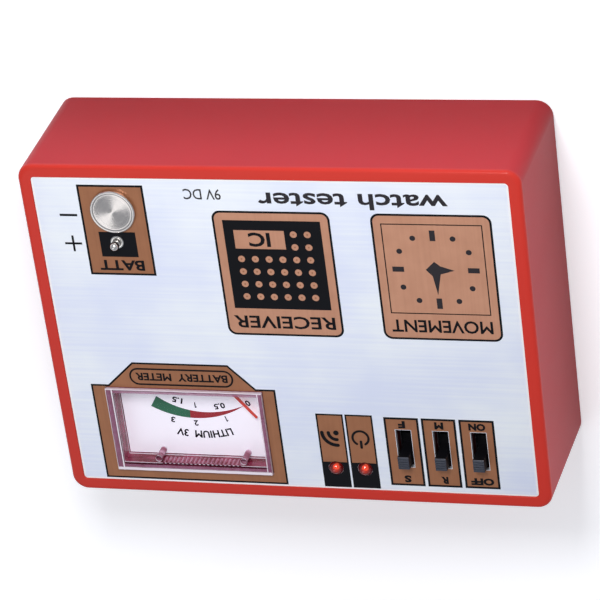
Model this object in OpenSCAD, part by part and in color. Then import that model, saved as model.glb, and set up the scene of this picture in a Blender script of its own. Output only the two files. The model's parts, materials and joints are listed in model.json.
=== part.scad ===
// Bench tester for quartz watches: button-cell meter, pulse receiver and movement drive coil,
// in a tapered moulded case with a metal top plate. Origin at the centre of the base, +Z up,
// +Y away from the user, +X along the reading direction of the labels.

/* [Case] */
// Width of the top plate
plate_w = 100; // [98:0.5:104]
// Depth of the top plate
plate_d = 73.3; // [72:0.1:76]
// Width of the rim around the plate, at the top
rim_w = 2.75; // [2.5:0.05:3.5]
// Height of the top plate's face above the base
plate_z = 29.9; // [29.5:0.1:31]
// How far the rim stands above the plate
rim_h = 0.3; // [0.1:0.05:0.6]
// How much wider each side is at the base than at the top
draft = 0.6; // [0:0.1:1]
// Radius of the case's upright corners
corner_r = 3.2; // [2:0.1:5]
// Radius of the rim's outer edge
edge_r = 0.75; // [0.4:0.05:1]

/* [Switches] */
// Centre of each switch along X
switch_x = [-38.5, -30.45, -22.5];
// Front end of the slots
slot_y0 = 21.53; // [21:0.1:22]
// Length of the slots
slot_len = 9.03; // [8.8:0.1:9.4]
// Width of the slots
slot_w = 3.3; // [3:0.1:3.5]
// Travel of the sliders
slide_travel = 4.4; // [4:0.1:4.5]
// Height of the sliders above the plate
knob_h = 2.4; // [1:0.1:3]

/* [Lamps] */
// Centres of the two lamps
lamp_xy = [[-13.3, 31.5], [-7, 31.5]];
// How far the lamps stand above the plate
lamp_h = 1.3; // [1:0.1:2]

/* [Meter] */
// Axis of the needle
pivot = [24.3, 4];
// Outer size of the raised window
window = [34.6, 20.3];
// Front edge of the raised window
window_y0 = 13.4; // [13:0.1:14]
// How far the window stands above the plate
window_h = 0.8; // [0.4:0.1:1]
// Depth of the dial's face below the plate
dial_depth = 4.5; // [4.3:0.1:4.7]
// Angle of the resting needle, to the left of straight back
needle_rest = 38.2; // [30:0.1:39]
// Length of the needle from its axis
needle_len = 22.9; // [20:0.1:24]

/* [Contacts] */
// Centre of the round contact disc
disc_xy = [33.15, -29.1];
// Diameter of the disc
disc_d = 9.6; // [9:0.1:10]
// Height of the disc's rim above the plate
disc_h = 0.9; // [0.7:0.1:1.2]
// Centre of the upright contact pin
pin_xy = [33.4, -21.8];
// Diameter of the pin
pin_d = 1.8; // [1.5:0.1:2]
// Height of the pin above the plate
pin_h = 2.9; // [2:0.1:3.2]

/* [Hidden] */
$fn = 48;
plate_t = 1;
deck_top = plate_z - plate_t;
deck_t = 2.1;
deck_z = deck_top - deck_t;
case_top = plate_z + rim_h;
top_w = plate_w + 2 * rim_w;
top_d = plate_d + 2 * rim_w;
base_w = top_w + 2 * draft;
base_d = top_d + 2 * draft;
cavity_w = 101;
cavity_d = 74.3;

cover_t = 2.2;
cover_w = 102;
cover_d = 75.3;
cover_gap = 0.1;
cover_screw_xy = [for (sx = [-1, 1], sy = [-1, 1]) [sx * 47.3, sy * 34.2]];
cover_pad_top = 3.5;
screw_r = 1.1;

door_x0 = -4.9;
hinge_x = 46.9;
hinge_z = cover_t / 2;
door_r = 1;
door_y = [-31.85, -4.85];
door_gap = 0.25;
door_pin_r = 0.6;
door_pin_l = 0.8;
knuckle_back = 2.75;
knuckle_inset = 1.4;

slot_yc = slot_y0 + slot_len / 2;
knob_w = 2.4;
knob_l = 3;
knob_y = slot_yc + slide_travel / 2;
knob_top = plate_z + knob_h;
frame_w = 7;
frame_l = 14.6;
frame_t = 0.5;
frame_top = deck_z - 0.3;
carriage_z = 22.9;
board_top = 20.4;
board_t = 1.6;
board_x = [-44.5, 0.4];
board_y = [3.5, 36.5];
board_screw_xy = [[-41, 35.2], [-2.1, 34.1], [-42.3, 6], [-2.1, 6]];
trimmer_xy = [-3, 15];
tap_r = 0.9;
base_plate_z = 20.6;
base_plate_t = 0.7;
terminal_dx = 1.7;
terminal_dy = [-4.4, 0, 4.4];

meter_x = [pivot[0] - window[0] / 2, pivot[0] + window[0] / 2];
meter_y = [-4.6, window_y0 + window[1]];
meter_z0 = 9;
meter_split = 22;
meter_wall = 1.2;
meter_low_top = deck_top - 0.3;
window_top = plate_z + window_h;
fit_gap = 0.15;
dial_z = plate_z - dial_depth;
dial_t = 0.5;
post_x = [13.5, 32.5];
post_y = 31.3;
meter_ear_xy = [[3.1, 12], [45.5, 12]];
meter_term_x = [17, 31.6];
meter_term_y = 26;
ear_z = 17.5;
ear_t = 2;

yoke_r = [6.2, 7.2];
yoke_z = [14.4, 21.6];
core_r = 4.2;
core_z = [14.8, 21.2];
coil_depth = 2.4;
former_half = 4.85;
former_t = 0.25;
former_z = [13.75, 22.15];
winding_t = 0.45;
shaft_r = 0.4;
shaft_z = [11.4, 24.9];
jewel_r = 1.2;
hub_z = 23.5;
arm_z = 26.3;
arm_t = 0.3;
bridge_z = 24.6;
bridge_t = 1.2;
bridge_half = 9.4;
small_screw_r = 0.5;
dial_screw_x = [10.2, 38.4];
dial_screw_y = 1;

stud_r = 1.45;
stud_z = 22.5;
lug_t = 0.4;
nut_h = 2.2;

drive_xy = [-33.5, -16.8];
drive_z = 19;
pickup_xyz = [-0.2, -15, 23.15];
battery_x = [0.8, 47.2];
battery_y = [-31.6, -5.1];
battery_z = [2.2, 19.7];
battery_term_x = -1.3;
wire_r = 0.55;

// Routes of the wires, from the part that each one serves to the board
red_route = [[-2.9, -12.1, 9], [-8, -12.1, 8.6], [-13, -11, 5], [-16, -6, 5], [-16, 0, 6],
    [-14, 4, 12], [-12, 6, 18.2]];
black_route = [[-2.9, -24.6, 9], [-9, -24.6, 8.4], [-16, -21, 4.5], [-20, -12, 4.5], [-20, -3, 5],
    [-19, 4, 12], [-18, 6, 18.2]];
meter_route_a = [[17, 26, 5.4], [10, 26, 5], [4, 24, 6], [0, 20, 10], [-3, 16, 14], [-5, 14, 18.2]];
meter_route_b = [[31.6, 26, 5.4], [26, 30, 5], [14, 32, 5], [4, 30, 6], [-2, 26, 12], [-5, 24, 18.2]];
disc_route = [[28.3, -29.1, 25.8], [24, -31, 24.6], [12, -34, 23.6], [-4, -33, 23], [-14, -24, 21.5],
    [-17, -10, 20.4], [-15.5, -2, 20.8], [-14, 1.5, 21.2], [-13.5, 4.5, 21]];
pin_route = [[28.6, -21.8, 25.8], [24, -23.2, 24.8], [16, -24, 23.6], [4, -24, 23], [-9, -22, 22],
    [-14, -12, 21.4], [-12, -3, 21], [-10.8, 1.5, 21.2], [-10.5, 4.5, 21]];
drive_route_a = [[-32, -8.2, 21.2], [-31, -4, 20.6], [-30, 1, 21], [-29, 4.5, 20.85]];
drive_route_b = [[-35, -8.2, 21.2], [-36, -4, 20.6], [-37, 1, 21], [-38, 4.5, 20.85]];
pickup_route_a = [[-7.2, -11.4, 23.2], [-8.2, -7, 22], [-8, -2, 21], [-7.5, 4.5, 20.85]];
pickup_route_b = [[6.8, -11.4, 23.2], [4.6, -9, 22.2], [0.5, -5, 21], [-3, -0.5, 21], [-4.8, 4.5, 20.85]];

// ---- Shared shapes ----

// A box given by its low and high corners
module span(lo, hi) {
    translate(lo) cube(hi - lo);
}

// A rectangle with round corners, centred
module round_rect(w, d, r) {
    hull()
        for (sx = [-1, 1], sy = [-1, 1])
            translate([sx * (w / 2 - r), sy * (d / 2 - r)]) circle(r, $fn = 32);
}

// A block with round upright corners that carries over exactly
module round_block(w, d, h, r) {
    linear_extrude(h) {
        square([w - 2 * r, d], center = true);
        square([w, d - 2 * r], center = true);
        for (sx = [-1, 1], sy = [-1, 1])
            translate([sx * (w / 2 - r), sy * (d / 2 - r)]) circle(r);
    }
}

// A ring between two radii
module ring(ro, ri, h) {
    difference() {
        cylinder(r = ro, h = h);
        translate([0, 0, -1]) cylinder(r = ri, h = h + 2);
    }
}

// A pan-head screw pointing up, its head below z = 0, with a cross recess
module screw(head_r, head_h, shank_r, shank_h) {
    difference() {
        union() {
            translate([0, 0, -head_h]) cylinder(r = head_r, h = head_h);
            cylinder(r = shank_r, h = shank_h);
        }
        for (turn = [0, 90])
            rotate(turn)
                translate([-head_r * 0.6, -head_r * 0.12, -head_h - 0.1])
                    cube([head_r * 1.2, head_r * 0.24, head_h * 0.6]);
    }
}

// A slotted screw pointing down, its head above z = 0
module slot_screw(head_r, head_h, shank_r, shank_h) {
    difference() {
        union() {
            cylinder(r = head_r, h = head_h);
            translate([0, 0, -shank_h]) cylinder(r = shank_r, h = shank_h);
        }
        translate([-head_r, -head_r * 0.13, head_h * 0.5])
            cube([head_r * 2, head_r * 0.26, head_h]);
    }
}

// Point on a smooth curve through the points p, u running from 0 to their last index
function curve_at(p, u) =
    let (n = len(p) - 1, i = min(floor(u), n - 1), t = u - i,
        a = p[max(i - 1, 0)], b = p[i], c = p[i + 1], d = p[min(i + 2, n)])
    0.5 * (2 * b + (c - a) * t + (2 * a - 5 * b + 4 * c - d) * t * t
        + (3 * b - a - 3 * c + d) * t * t * t);

// A round wire swept along the curve through the points p
module wire(p, r = wire_r, sides = 8) {
    steps = len(p) + 3;
    u_max = len(p) - 1;
    rings = [for (i = [0:steps - 1])
        let (u = u_max * i / (steps - 1),
            here = curve_at(p, u),
            ahead = curve_at(p, min(u + 0.02, u_max)) - curve_at(p, max(u - 0.02, 0)),
            run = ahead / norm(ahead),
            side = cross(run, abs(run[2]) > 0.9 ? [0, 1, 0] : [0, 0, 1]),
            across = side / norm(side),
            rise = cross(across, run))
        for (k = [0:sides - 1])
            here + r * (cos(360 * k / sides) * across + sin(360 * k / sides) * rise)];
    last = (steps - 1) * sides;
    polyhedron(rings, concat(
        [[for (k = [0:sides - 1]) k]],
        [for (i = [0:steps - 2], k = [0:sides - 1])
            [i * sides + k, (i + 1) * sides + k, (i + 1) * sides + (k + 1) % sides,
                i * sides + (k + 1) % sides]],
        [[for (k = [sides - 1:-1:0]) last + k]]));
}

// ---- Case ----

// The tapered outer form with its rounded rim
module case_form() {
    hull() {
        linear_extrude(0.01) round_rect(base_w, base_d, corner_r + 0.2);
        for (turn = [0:22.5:90])
            translate([0, 0, case_top - edge_r + edge_r * sin(turn) - 0.01])
                linear_extrude(0.01)
                    round_rect(top_w - 2 * edge_r * (1 - cos(turn)),
                        top_d - 2 * edge_r * (1 - cos(turn)), corner_r);
    }
}

// A post hanging from the deck, with a blind hole from below
module deck_post(xy, r, hole_r, z, hole_h) {
    translate([xy[0], xy[1], z])
        difference() {
            cylinder(r = r, h = deck_z - z + 0.5);
            translate([0, 0, -1]) cylinder(r = hole_r, h = hole_h + 1);
        }
}

// A rib under the deck that the ferrite rod snaps into from below
module rod_clip(x) {
    difference() {
        span([x - 0.5, pickup_xyz[1] - 3, pickup_xyz[2] - 1.6], [x + 0.5, pickup_xyz[1] + 3, deck_z + 0.5]);
        translate([x - 1, pickup_xyz[1], pickup_xyz[2]]) rotate([0, 90, 0]) cylinder(r = 1.92, h = 2);
        span([x - 1, pickup_xyz[1] - 1.6, pickup_xyz[2] - 3], [x + 1, pickup_xyz[1] + 1.6, pickup_xyz[2]]);
    }
}

module case_shell() {
    color([0.78, 0.24, 0.2]) {
        difference() {
            case_form();
            span([-cavity_w / 2, -cavity_d / 2, -1], [cavity_w / 2, cavity_d / 2, deck_z]);
            span([-cover_w / 2 - cover_gap, -cover_d / 2 - cover_gap, -1],
                [cover_w / 2 + cover_gap, cover_d / 2 + cover_gap, cover_t]);
            translate([0, 0, deck_top]) round_block(plate_w + 0.1, plate_d + 0.1, 5, 0.85);
            span([meter_x[0] - fit_gap, meter_y[0] - fit_gap, deck_z - 1],
                [meter_x[1] + fit_gap, meter_y[1] + fit_gap, deck_top + 1]);
            for (x = switch_x)
                span([x - slot_w / 2, slot_y0, deck_z - 1],
                    [x + slot_w / 2, slot_y0 + slot_len, deck_top + 1]);
            for (p = lamp_xy)
                translate([p[0], p[1], deck_z - 1]) cylinder(r = 1.6, h = 5);
            translate([disc_xy[0], disc_xy[1], deck_z - 1]) cylinder(r = 2.05, h = 5);
            translate([pin_xy[0], pin_xy[1], deck_z - 1]) cylinder(r = 1.25, h = 5);
        }
        difference() {
            span([meter_x[0] - 1.6, meter_y[0] - 1.6, meter_split - 1],
                [meter_x[1] + 1.6, meter_y[1] + 1.6, deck_z + 0.5]);
            span([meter_x[0] - fit_gap, meter_y[0] - fit_gap, meter_split - 2],
                [meter_x[1] + fit_gap, meter_y[1] + fit_gap, deck_z + 1]);
        }
        for (p = cover_screw_xy) deck_post(p, 2.5, screw_r, cover_pad_top, 12);
        for (p = board_screw_xy) deck_post(p, 1.6, tap_r, board_top, 5);
        for (p = meter_ear_xy) deck_post(p, 2.2, tap_r, ear_z + ear_t, 5);
        deck_post(drive_xy, 2.4, tap_r, drive_z + 3, 4);
        for (s = [-1, 1]) rod_clip(pickup_xyz[0] + s * 10.2);
    }
}

module base_cover() {
    yc = (door_y[0] + door_y[1]) / 2;
    half = (door_y[1] - door_y[0]) / 2 + door_gap;
    color([0.6, 0.18, 0.16])
        difference() {
            union() {
                span([-cover_w / 2, -cover_d / 2, 0], [cover_w / 2, cover_d / 2, cover_t]);
                for (p = cover_screw_xy)
                    translate([p[0], p[1], 0]) cylinder(r = 2.8, h = cover_pad_top);
                span([door_x0 - 2, battery_y[1] + 0.25, 1], [48, battery_y[1] + 1.4, 8.4]);
                span([door_x0 - 2, battery_y[0] - 1.4, 1], [40, battery_y[0] - 0.25, 8.4]);
                span([48, battery_y[0] + 4, 1], [49.4, battery_y[1] + 1.4, 8.4]);
            }
            span([door_x0 - door_gap, yc - half, -1],
                [hinge_x - knuckle_back + door_gap, yc + half, cover_t + 0.01]);
            span([hinge_x - knuckle_back, yc - half + knuckle_inset, -1],
                [hinge_x + door_r + door_gap, yc + half - knuckle_inset, cover_t + 0.01]);
            for (p = cover_screw_xy)
                translate([p[0], p[1], -1]) {
                    cylinder(r = screw_r + 0.2, h = 8);
                    cylinder(r = 2.5, h = 2.6);
                }
            for (s = [-1, 1])
                translate([hinge_x, yc + s * (half - knuckle_inset), hinge_z])
                    rotate([90, 0, 0]) cylinder(r = door_pin_r + 0.06, h = 2 * door_pin_l, center = true);
            span([door_x0 - 3, yc - 5, -1], [door_x0, yc + 5, 0.9]);
        }
}

module cover_screws() {
    color("silver")
        for (p = cover_screw_xy)
            translate([p[0], p[1], 1.6]) screw(2.2, 1.3, screw_r, 12);
}

module battery_door() {
    yc = (door_y[0] + door_y[1]) / 2;
    knuckle = (door_y[1] - door_y[0]) / 2 - knuckle_inset;
    color([0.6, 0.18, 0.16]) {
        difference() {
            union() {
                span([door_x0, door_y[0], hinge_z - door_r],
                    [hinge_x - knuckle_back, door_y[1], hinge_z + door_r]);
                span([hinge_x - knuckle_back - 1, yc - knuckle, hinge_z - door_r],
                    [hinge_x, yc + knuckle, hinge_z + door_r]);
                translate([hinge_x, yc, hinge_z])
                    rotate([90, 0, 0]) {
                        cylinder(r = door_r, h = 2 * knuckle, center = true);
                        cylinder(r = door_pin_r, h = 2 * (knuckle + door_pin_l), center = true);
                    }
            }
            for (i = [0:5])
                translate([door_x0 + 3 + 1.3 * i, yc, hinge_z - door_r - 0.1])
                    linear_extrude(0.5) square([0.6, 12 - 1.4 * i], center = true);
        }
        span([door_x0 + 0.1, yc - 4, hinge_z], [door_x0 + 1.1, yc + 4, 4.6]);
    }
}

// ---- Top plate ----

module front_panel() {
    color([0.85, 0.86, 0.92])
        difference() {
            translate([0, 0, deck_top]) round_block(plate_w, plate_d, plate_t, 0.8);
            span([meter_x[0] - fit_gap, window_y0 - fit_gap, deck_top - 1],
                [meter_x[1] + fit_gap, meter_y[1] + fit_gap, plate_z + 1]);
            for (x = switch_x)
                span([x - slot_w / 2, slot_y0, deck_top - 1],
                    [x + slot_w / 2, slot_y0 + slot_len, plate_z + 1]);
            for (p = lamp_xy)
                translate([p[0], p[1], deck_top - 1]) cylinder(r = 1.6, h = 4);
            translate([disc_xy[0], disc_xy[1], deck_top - 1]) cylinder(r = 2.05, h = 4);
            translate([pin_xy[0], pin_xy[1], deck_top - 1]) cylinder(r = 1.25, h = 4);
        }
}

// ---- Meter ----

module meter_cover() {
    w = meter_wall;
    color([0.9, 0.9, 0.95, 0.35]) {
        difference() {
            union() {
                span([meter_x[0], meter_y[0], meter_split], [meter_x[1], meter_y[1], meter_low_top]);
                span([meter_x[0], window_y0, meter_split], [meter_x[1], meter_y[1], window_top]);
            }
            span([meter_x[0] + w, meter_y[0] + w, meter_split - 1],
                [meter_x[1] - w, meter_y[1] - w, meter_low_top - 1]);
            span([meter_x[0] + w, window_y0 + w, meter_split - 1],
                [meter_x[1] - w, meter_y[1] - w, window_top - w]);
        }
        for (x = post_x)
            translate([x, post_y, dial_z]) cylinder(r = 0.7, h = window_top - w - dial_z + 0.3);
        for (i = [1:19])
            span([post_x[0] + i * 0.95 - 0.2, meter_y[1] - w - 0.25, dial_z + 1.4],
                [post_x[0] + i * 0.95 + 0.2, meter_y[1] - w + 0.1, dial_z + 4.2]);
    }
}

module meter_base() {
    w = meter_wall;
    color([0.12, 0.12, 0.13])
        difference() {
            union() {
                difference() {
                    span([meter_x[0], meter_y[0], meter_z0], [meter_x[1], meter_y[1], meter_split]);
                    span([meter_x[0] + w, meter_y[0] + w, meter_z0 + w],
                        [meter_x[1] - w, meter_y[1] - w, meter_split + 1]);
                }
                for (x = dial_screw_x)
                    translate([x, dial_screw_y, meter_z0])
                        cylinder(r = 1.4, h = dial_z - dial_t - meter_z0);
                for (x = post_x)
                    translate([x, post_y - 0.6, meter_z0])
                        cylinder(r = 1.3, h = dial_z - dial_t - meter_z0);
                for (s = [-1, 1])
                    translate([pivot[0] + s * bridge_half, pivot[1] + 3, meter_z0])
                        cylinder(r = 1.6, h = bridge_z - meter_z0);
                translate([pivot[0], pivot[1], meter_z0]) ring(7.2, 5.9, yoke_z[0] - meter_z0);
                translate([pivot[0], pivot[1], meter_z0]) cylinder(r = 2.4, h = 2.4);
                for (p = meter_ear_xy)
                    translate([p[0], p[1], ear_z]) {
                        cylinder(r = 2.2, h = ear_t);
                        inward = p[0] < pivot[0] ? 1 : -1;
                        span([min(0, inward * 4.4), -2.2, 0], [max(0, inward * 4.4), 2.2, ear_t]);
                    }
            }
            translate([pivot[0], pivot[1], meter_z0 - 1]) cylinder(r = jewel_r, h = 5);
            for (p = meter_ear_xy)
                translate([p[0], p[1], ear_z - 1]) cylinder(r = 1.15, h = ear_t + 2);
            for (x = dial_screw_x)
                translate([x, dial_screw_y, dial_z - 4]) cylinder(r = small_screw_r, h = 5);
            for (s = [-1, 1])
                translate([pivot[0] + s * bridge_half, pivot[1] + 3, bridge_z - 3])
                    cylinder(r = small_screw_r, h = 5);
            for (x = meter_term_x)
                translate([x, meter_term_y, meter_z0 - 1]) cylinder(r = 1.2, h = 4);
        }
}

module dial_plate() {
    y0 = meter_y[0] + meter_wall + 0.1;
    color([0.96, 0.95, 0.98])
        difference() {
            span([meter_x[0] + meter_wall + 0.1, y0, dial_z - dial_t],
                [meter_x[1] - meter_wall - 0.1, meter_y[1] - meter_wall - 0.1, dial_z]);
            translate([pivot[0], pivot[1], dial_z - 2]) cylinder(r = 9.2, h = 3);
            span([pivot[0] - 11.6, y0 - 1, dial_z - 2], [pivot[0] + 11.6, pivot[1] + 5, dial_z + 1]);
            for (x = dial_screw_x)
                translate([x, dial_screw_y, dial_z - 2]) cylinder(r = small_screw_r + 0.1, h = 3);
        }
}

module movement_screws() {
    color([0.8, 0.7, 0.45]) {
        for (x = dial_screw_x)
            translate([x, dial_screw_y, dial_z]) slot_screw(1.1, 0.7, small_screw_r, 3.5);
        for (s = [-1, 1])
            translate([pivot[0] + s * bridge_half, pivot[1] + 3, bridge_z + bridge_t])
                slot_screw(1.1, 0.7, small_screw_r, 3.5);
    }
}

// The needle leans to the left at rest, over the 0 of the dial
module needle() {
    color([0.9, 0.25, 0.2])
        translate([pivot[0], pivot[1], 0])
            rotate(needle_rest) {
                difference() {
                    union() {
                        translate([0, 0, hub_z]) cylinder(r = 1.3, h = 0.5);
                        span([-0.5, -5.6, hub_z], [0.5, 8, hub_z + 0.4]);
                        translate([0, -5.4, hub_z]) cylinder(r = 0.9, h = 0.7);
                        span([-0.4, 7.3, hub_z], [0.4, 8, arm_z + arm_t]);
                        translate([0, 0, arm_z])
                            linear_extrude(arm_t)
                                polygon([[-0.4, 7.3], [0.4, 7.3], [0.24, needle_len], [-0.24, needle_len]]);
                    }
                    translate([0, 0, hub_z - 1]) cylinder(r = shaft_r, h = 3);
                }
            }
}

// A rectangular loop around the core, in the plane of local X and Z
module coil_loop(half_out, half_in, z_out, z_in) {
    translate([pivot[0], pivot[1], 0])
        rotate(needle_rest)
            difference() {
                span([-half_out, -coil_depth / 2, z_out[0]], [half_out, coil_depth / 2, z_out[1]]);
                span([-half_in, -coil_depth, z_in[0]], [half_in, coil_depth, z_in[1]]);
            }
}

module coil_former() {
    color([0.75, 0.76, 0.78])
        coil_loop(former_half + former_t, former_half, former_z,
            [former_z[0] + former_t, former_z[1] - former_t]);
}

module moving_coil() {
    color([0.72, 0.4, 0.2])
        coil_loop(former_half + former_t + winding_t, former_half + former_t,
            [former_z[0] - winding_t, former_z[1] + winding_t], former_z);
}

module pivot_shafts() {
    color("silver")
        translate([pivot[0], pivot[1], 0]) {
            translate([0, 0, former_z[1] + winding_t])
                cylinder(r = shaft_r, h = shaft_z[1] - former_z[1] - winding_t);
            translate([0, 0, shaft_z[0]])
                cylinder(r = shaft_r, h = former_z[0] - winding_t - shaft_z[0]);
        }
}

module jewel_screws() {
    color([0.8, 0.7, 0.45])
        translate([pivot[0], pivot[1], 0]) {
            difference() {
                translate([0, 0, shaft_z[1] - 0.7]) cylinder(r = jewel_r, h = 2.2);
                translate([0, 0, shaft_z[1] - 0.9]) cylinder(r = shaft_r + 0.06, h = 1);
                span([-jewel_r, -0.15, shaft_z[1] + 1.1], [jewel_r, 0.15, shaft_z[1] + 2]);
            }
            difference() {
                translate([0, 0, shaft_z[0] - 2]) cylinder(r = jewel_r, h = 2.6);
                translate([0, 0, shaft_z[0] - 0.1]) cylinder(r = shaft_r + 0.06, h = 1);
                span([-jewel_r, -0.15, shaft_z[0] - 3], [jewel_r, 0.15, shaft_z[0] - 1.6]);
            }
        }
}

module meter_yoke() {
    color([0.45, 0.46, 0.48])
        translate([pivot[0], pivot[1], yoke_z[0]]) ring(yoke_r[1], yoke_r[0], yoke_z[1] - yoke_z[0]);
}

module core_magnet() {
    color([0.3, 0.31, 0.33])
        translate([pivot[0], pivot[1], core_z[0]]) cylinder(r = core_r, h = core_z[1] - core_z[0]);
}

module core_supports() {
    color([0.8, 0.7, 0.45])
        translate([pivot[0], pivot[1], 0])
            difference() {
                intersection() {
                    translate([0, 0, 16.5]) cylinder(r = yoke_r[0], h = 3);
                    span([-1.7, -8, 16], [1.7, 8, 20]);
                }
                translate([0, 0, 16]) cylinder(r = core_r, h = 4);
            }
}

module top_bridge() {
    color([0.8, 0.7, 0.45])
        difference() {
            span([pivot[0] - bridge_half - 1.6, pivot[1] - 1.7, bridge_z],
                [pivot[0] + bridge_half + 1.6, pivot[1] + 4.6, bridge_z + bridge_t]);
            translate([pivot[0], pivot[1], bridge_z - 1]) cylinder(r = jewel_r, h = 4);
            for (s = [-1, 1])
                translate([pivot[0] + s * bridge_half, pivot[1] + 3, bridge_z - 1])
                    cylinder(r = small_screw_r + 0.1, h = 4);
        }
}

// A flat spiral ribbon between two radii
function spiral_edge(r0, r1, turns, steps, off) =
    [for (i = [0:steps])
        let (f = i / steps, a = 360 * turns * f, r = r0 + (r1 - r0) * f + off)
        [r * cos(a), r * sin(a)]];

module hairspring(z) {
    inner = spiral_edge(0.65, 3, 3.5, 70, -0.06);
    outer = spiral_edge(0.65, 3, 3.5, 70, 0.06);
    translate([pivot[0], pivot[1], z])
        linear_extrude(0.35)
            polygon(concat(outer, [for (i = [len(inner) - 1:-1:0]) inner[i]]));
}

module hairsprings() {
    color([0.75, 0.6, 0.35]) {
        hairspring(22.85);
        hairspring(12.4);
    }
}

module meter_terminals() {
    color([0.8, 0.7, 0.45])
        for (x = meter_term_x)
            translate([x, meter_term_y, 0]) {
                translate([0, 0, 6]) cylinder(r = 1.2, h = 5.6);
                translate([0, 0, 8.2]) cylinder(r = 2, h = 0.8);
            }
}

// Seven like screws: the board's four, the meter's two and the drive coil's one
module small_screws() {
    color("silver") {
        for (p = meter_ear_xy)
            translate([p[0], p[1], ear_z]) screw(1.9, 1.2, tap_r, 6);
        for (p = board_screw_xy)
            translate([p[0], p[1], board_top - board_t]) screw(1.9, 1.2, tap_r, 6);
        translate([drive_xy[0], drive_xy[1], drive_z]) screw(1.9, 1.2, tap_r, 6);
    }
}

// ---- Slide switches ----

module switch_frame(x) {
    color([0.75, 0.76, 0.78])
        difference() {
            span([x - frame_w / 2, slot_yc - frame_l / 2, base_plate_z + 0.1],
                [x + frame_w / 2, slot_yc + frame_l / 2, frame_top]);
            span([x - frame_w / 2 + frame_t, slot_yc - frame_l / 2 + frame_t, base_plate_z - 1],
                [x + frame_w / 2 - frame_t, slot_yc + frame_l / 2 - frame_t, frame_top - frame_t]);
            span([x - 1.6, slot_y0 + 0.2, frame_top - 1],
                [x + 1.6, slot_y0 + slot_len - 0.2, frame_top + 1]);
        }
}

// The knob with its ribbed top, and the carriage that runs inside the frame
module slider(x) {
    rib_pitch = 0.6;
    color([0.1, 0.1, 0.11])
        difference() {
            union() {
                span([x - knob_w / 2, knob_y - knob_l / 2, carriage_z + 1],
                    [x + knob_w / 2, knob_y + knob_l / 2, knob_top]);
                span([x - 2.7, knob_y - 3.6, carriage_z],
                    [x + 2.7, knob_y + 3.6, frame_top - frame_t - 0.12]);
            }
            for (i = [-2:2])
                translate([x, knob_y + i * rib_pitch, knob_top])
                    rotate([45, 0, 0]) cube([knob_w + 1, 0.26, 0.26], center = true);
        }
}

module contact_spring(x) {
    color([0.82, 0.6, 0.35])
        for (sx = [-1, 1])
            translate([x + sx * terminal_dx, knob_y, 0]) {
                span([-0.5, -2.6, carriage_z - 0.3], [0.5, 2.6, carriage_z]);
                span([-0.5, -2.6, carriage_z - 1.15], [0.5, -2.2, carriage_z]);
                span([-0.5, 2.2, carriage_z - 1.15], [0.5, 2.6, carriage_z]);
            }
}

module switch_bases() {
    color([0.5, 0.3, 0.15])
        for (x = switch_x)
            difference() {
                translate([x, slot_yc, base_plate_z])
                    linear_extrude(base_plate_t)
                        square([frame_w - 2 * frame_t - 0.04, frame_l - 2 * frame_t - 0.04], center = true);
                for (sx = [-1, 1], dy = terminal_dy)
                    translate([x + sx * terminal_dx, slot_yc + dy, base_plate_z - 1])
                        cylinder(r = 0.4, h = 3);
            }
}

module switch_terminals() {
    color("silver")
        for (x = switch_x, sx = [-1, 1], dy = terminal_dy)
            translate([x + sx * terminal_dx, slot_yc + dy, 0]) {
                translate([0, 0, board_top - board_t - 1]) cylinder(r = 0.4, h = 3.9);
                translate([0, 0, base_plate_z + base_plate_t]) cylinder(r = 0.7, h = 0.25);
            }
}

// ---- Lamps ----

module lamp(p) {
    color([0.85, 0.1, 0.08])
        translate([p[0], p[1], 0]) {
            translate([0, 0, deck_z - 0.9]) cylinder(r = 1.9, h = 0.8);
            translate([0, 0, deck_z - 0.2]) cylinder(r = 1.5, h = plate_z + lamp_h - deck_z - 1.3);
            translate([0, 0, plate_z + lamp_h - 1.5]) sphere(r = 1.5);
        }
}

module led_leads() {
    color("silver")
        for (p = lamp_xy, s = [-1, 1])
            translate([p[0] + s * 1.27, p[1], board_top - board_t - 1])
                translate([-0.25, -0.25, 0]) cube([0.5, 0.5, deck_z - 0.9 - board_top + board_t + 1]);
}

// ---- Contacts ----

module negative_disc() {
    color([0.8, 0.76, 0.66])
        translate([disc_xy[0], disc_xy[1], 0]) {
            translate([0, 0, plate_z + 0.2])
                rotate_extrude()
                    polygon([[0, 0], [disc_d / 2, 0], [disc_d / 2, disc_h - 0.35],
                        [disc_d / 2 - 0.2, disc_h - 0.2], [disc_d / 2 - 0.5, disc_h - 0.2],
                        [disc_d / 2 - 1.1, disc_h - 0.35], [0, disc_h - 0.35]]);
            translate([0, 0, stud_z]) cylinder(r = stud_r, h = plate_z + 0.3 - stud_z);
        }
}

module disc_bush() {
    color([0.9, 0.88, 0.8])
        translate([disc_xy[0], disc_xy[1], 0]) {
            translate([0, 0, plate_z]) ring(4, 1.5, 0.2);
            translate([0, 0, deck_z]) ring(2, 1.5, plate_z + 0.1 - deck_z);
        }
}

module positive_pin() {
    color([0.85, 0.83, 0.78])
        translate([pin_xy[0], pin_xy[1], 0]) {
            translate([0, 0, deck_z - 2.5])
                cylinder(r = pin_d / 2, h = plate_z + pin_h - pin_d / 2 - deck_z + 2.5);
            translate([0, 0, plate_z + pin_h - pin_d / 2]) sphere(r = pin_d / 2);
            translate([0, 0, stud_z]) cylinder(r = stud_r, h = deck_z - stud_z);
        }
}

module pin_eyelet() {
    color([0.9, 0.9, 0.9])
        translate([pin_xy[0], pin_xy[1], 0]) {
            translate([0, 0, plate_z]) ring(1.45, pin_d / 2 + 0.02, 0.3);
            translate([0, 0, deck_z]) ring(1.2, pin_d / 2 + 0.02, plate_z + 0.1 - deck_z);
        }
}

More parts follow.
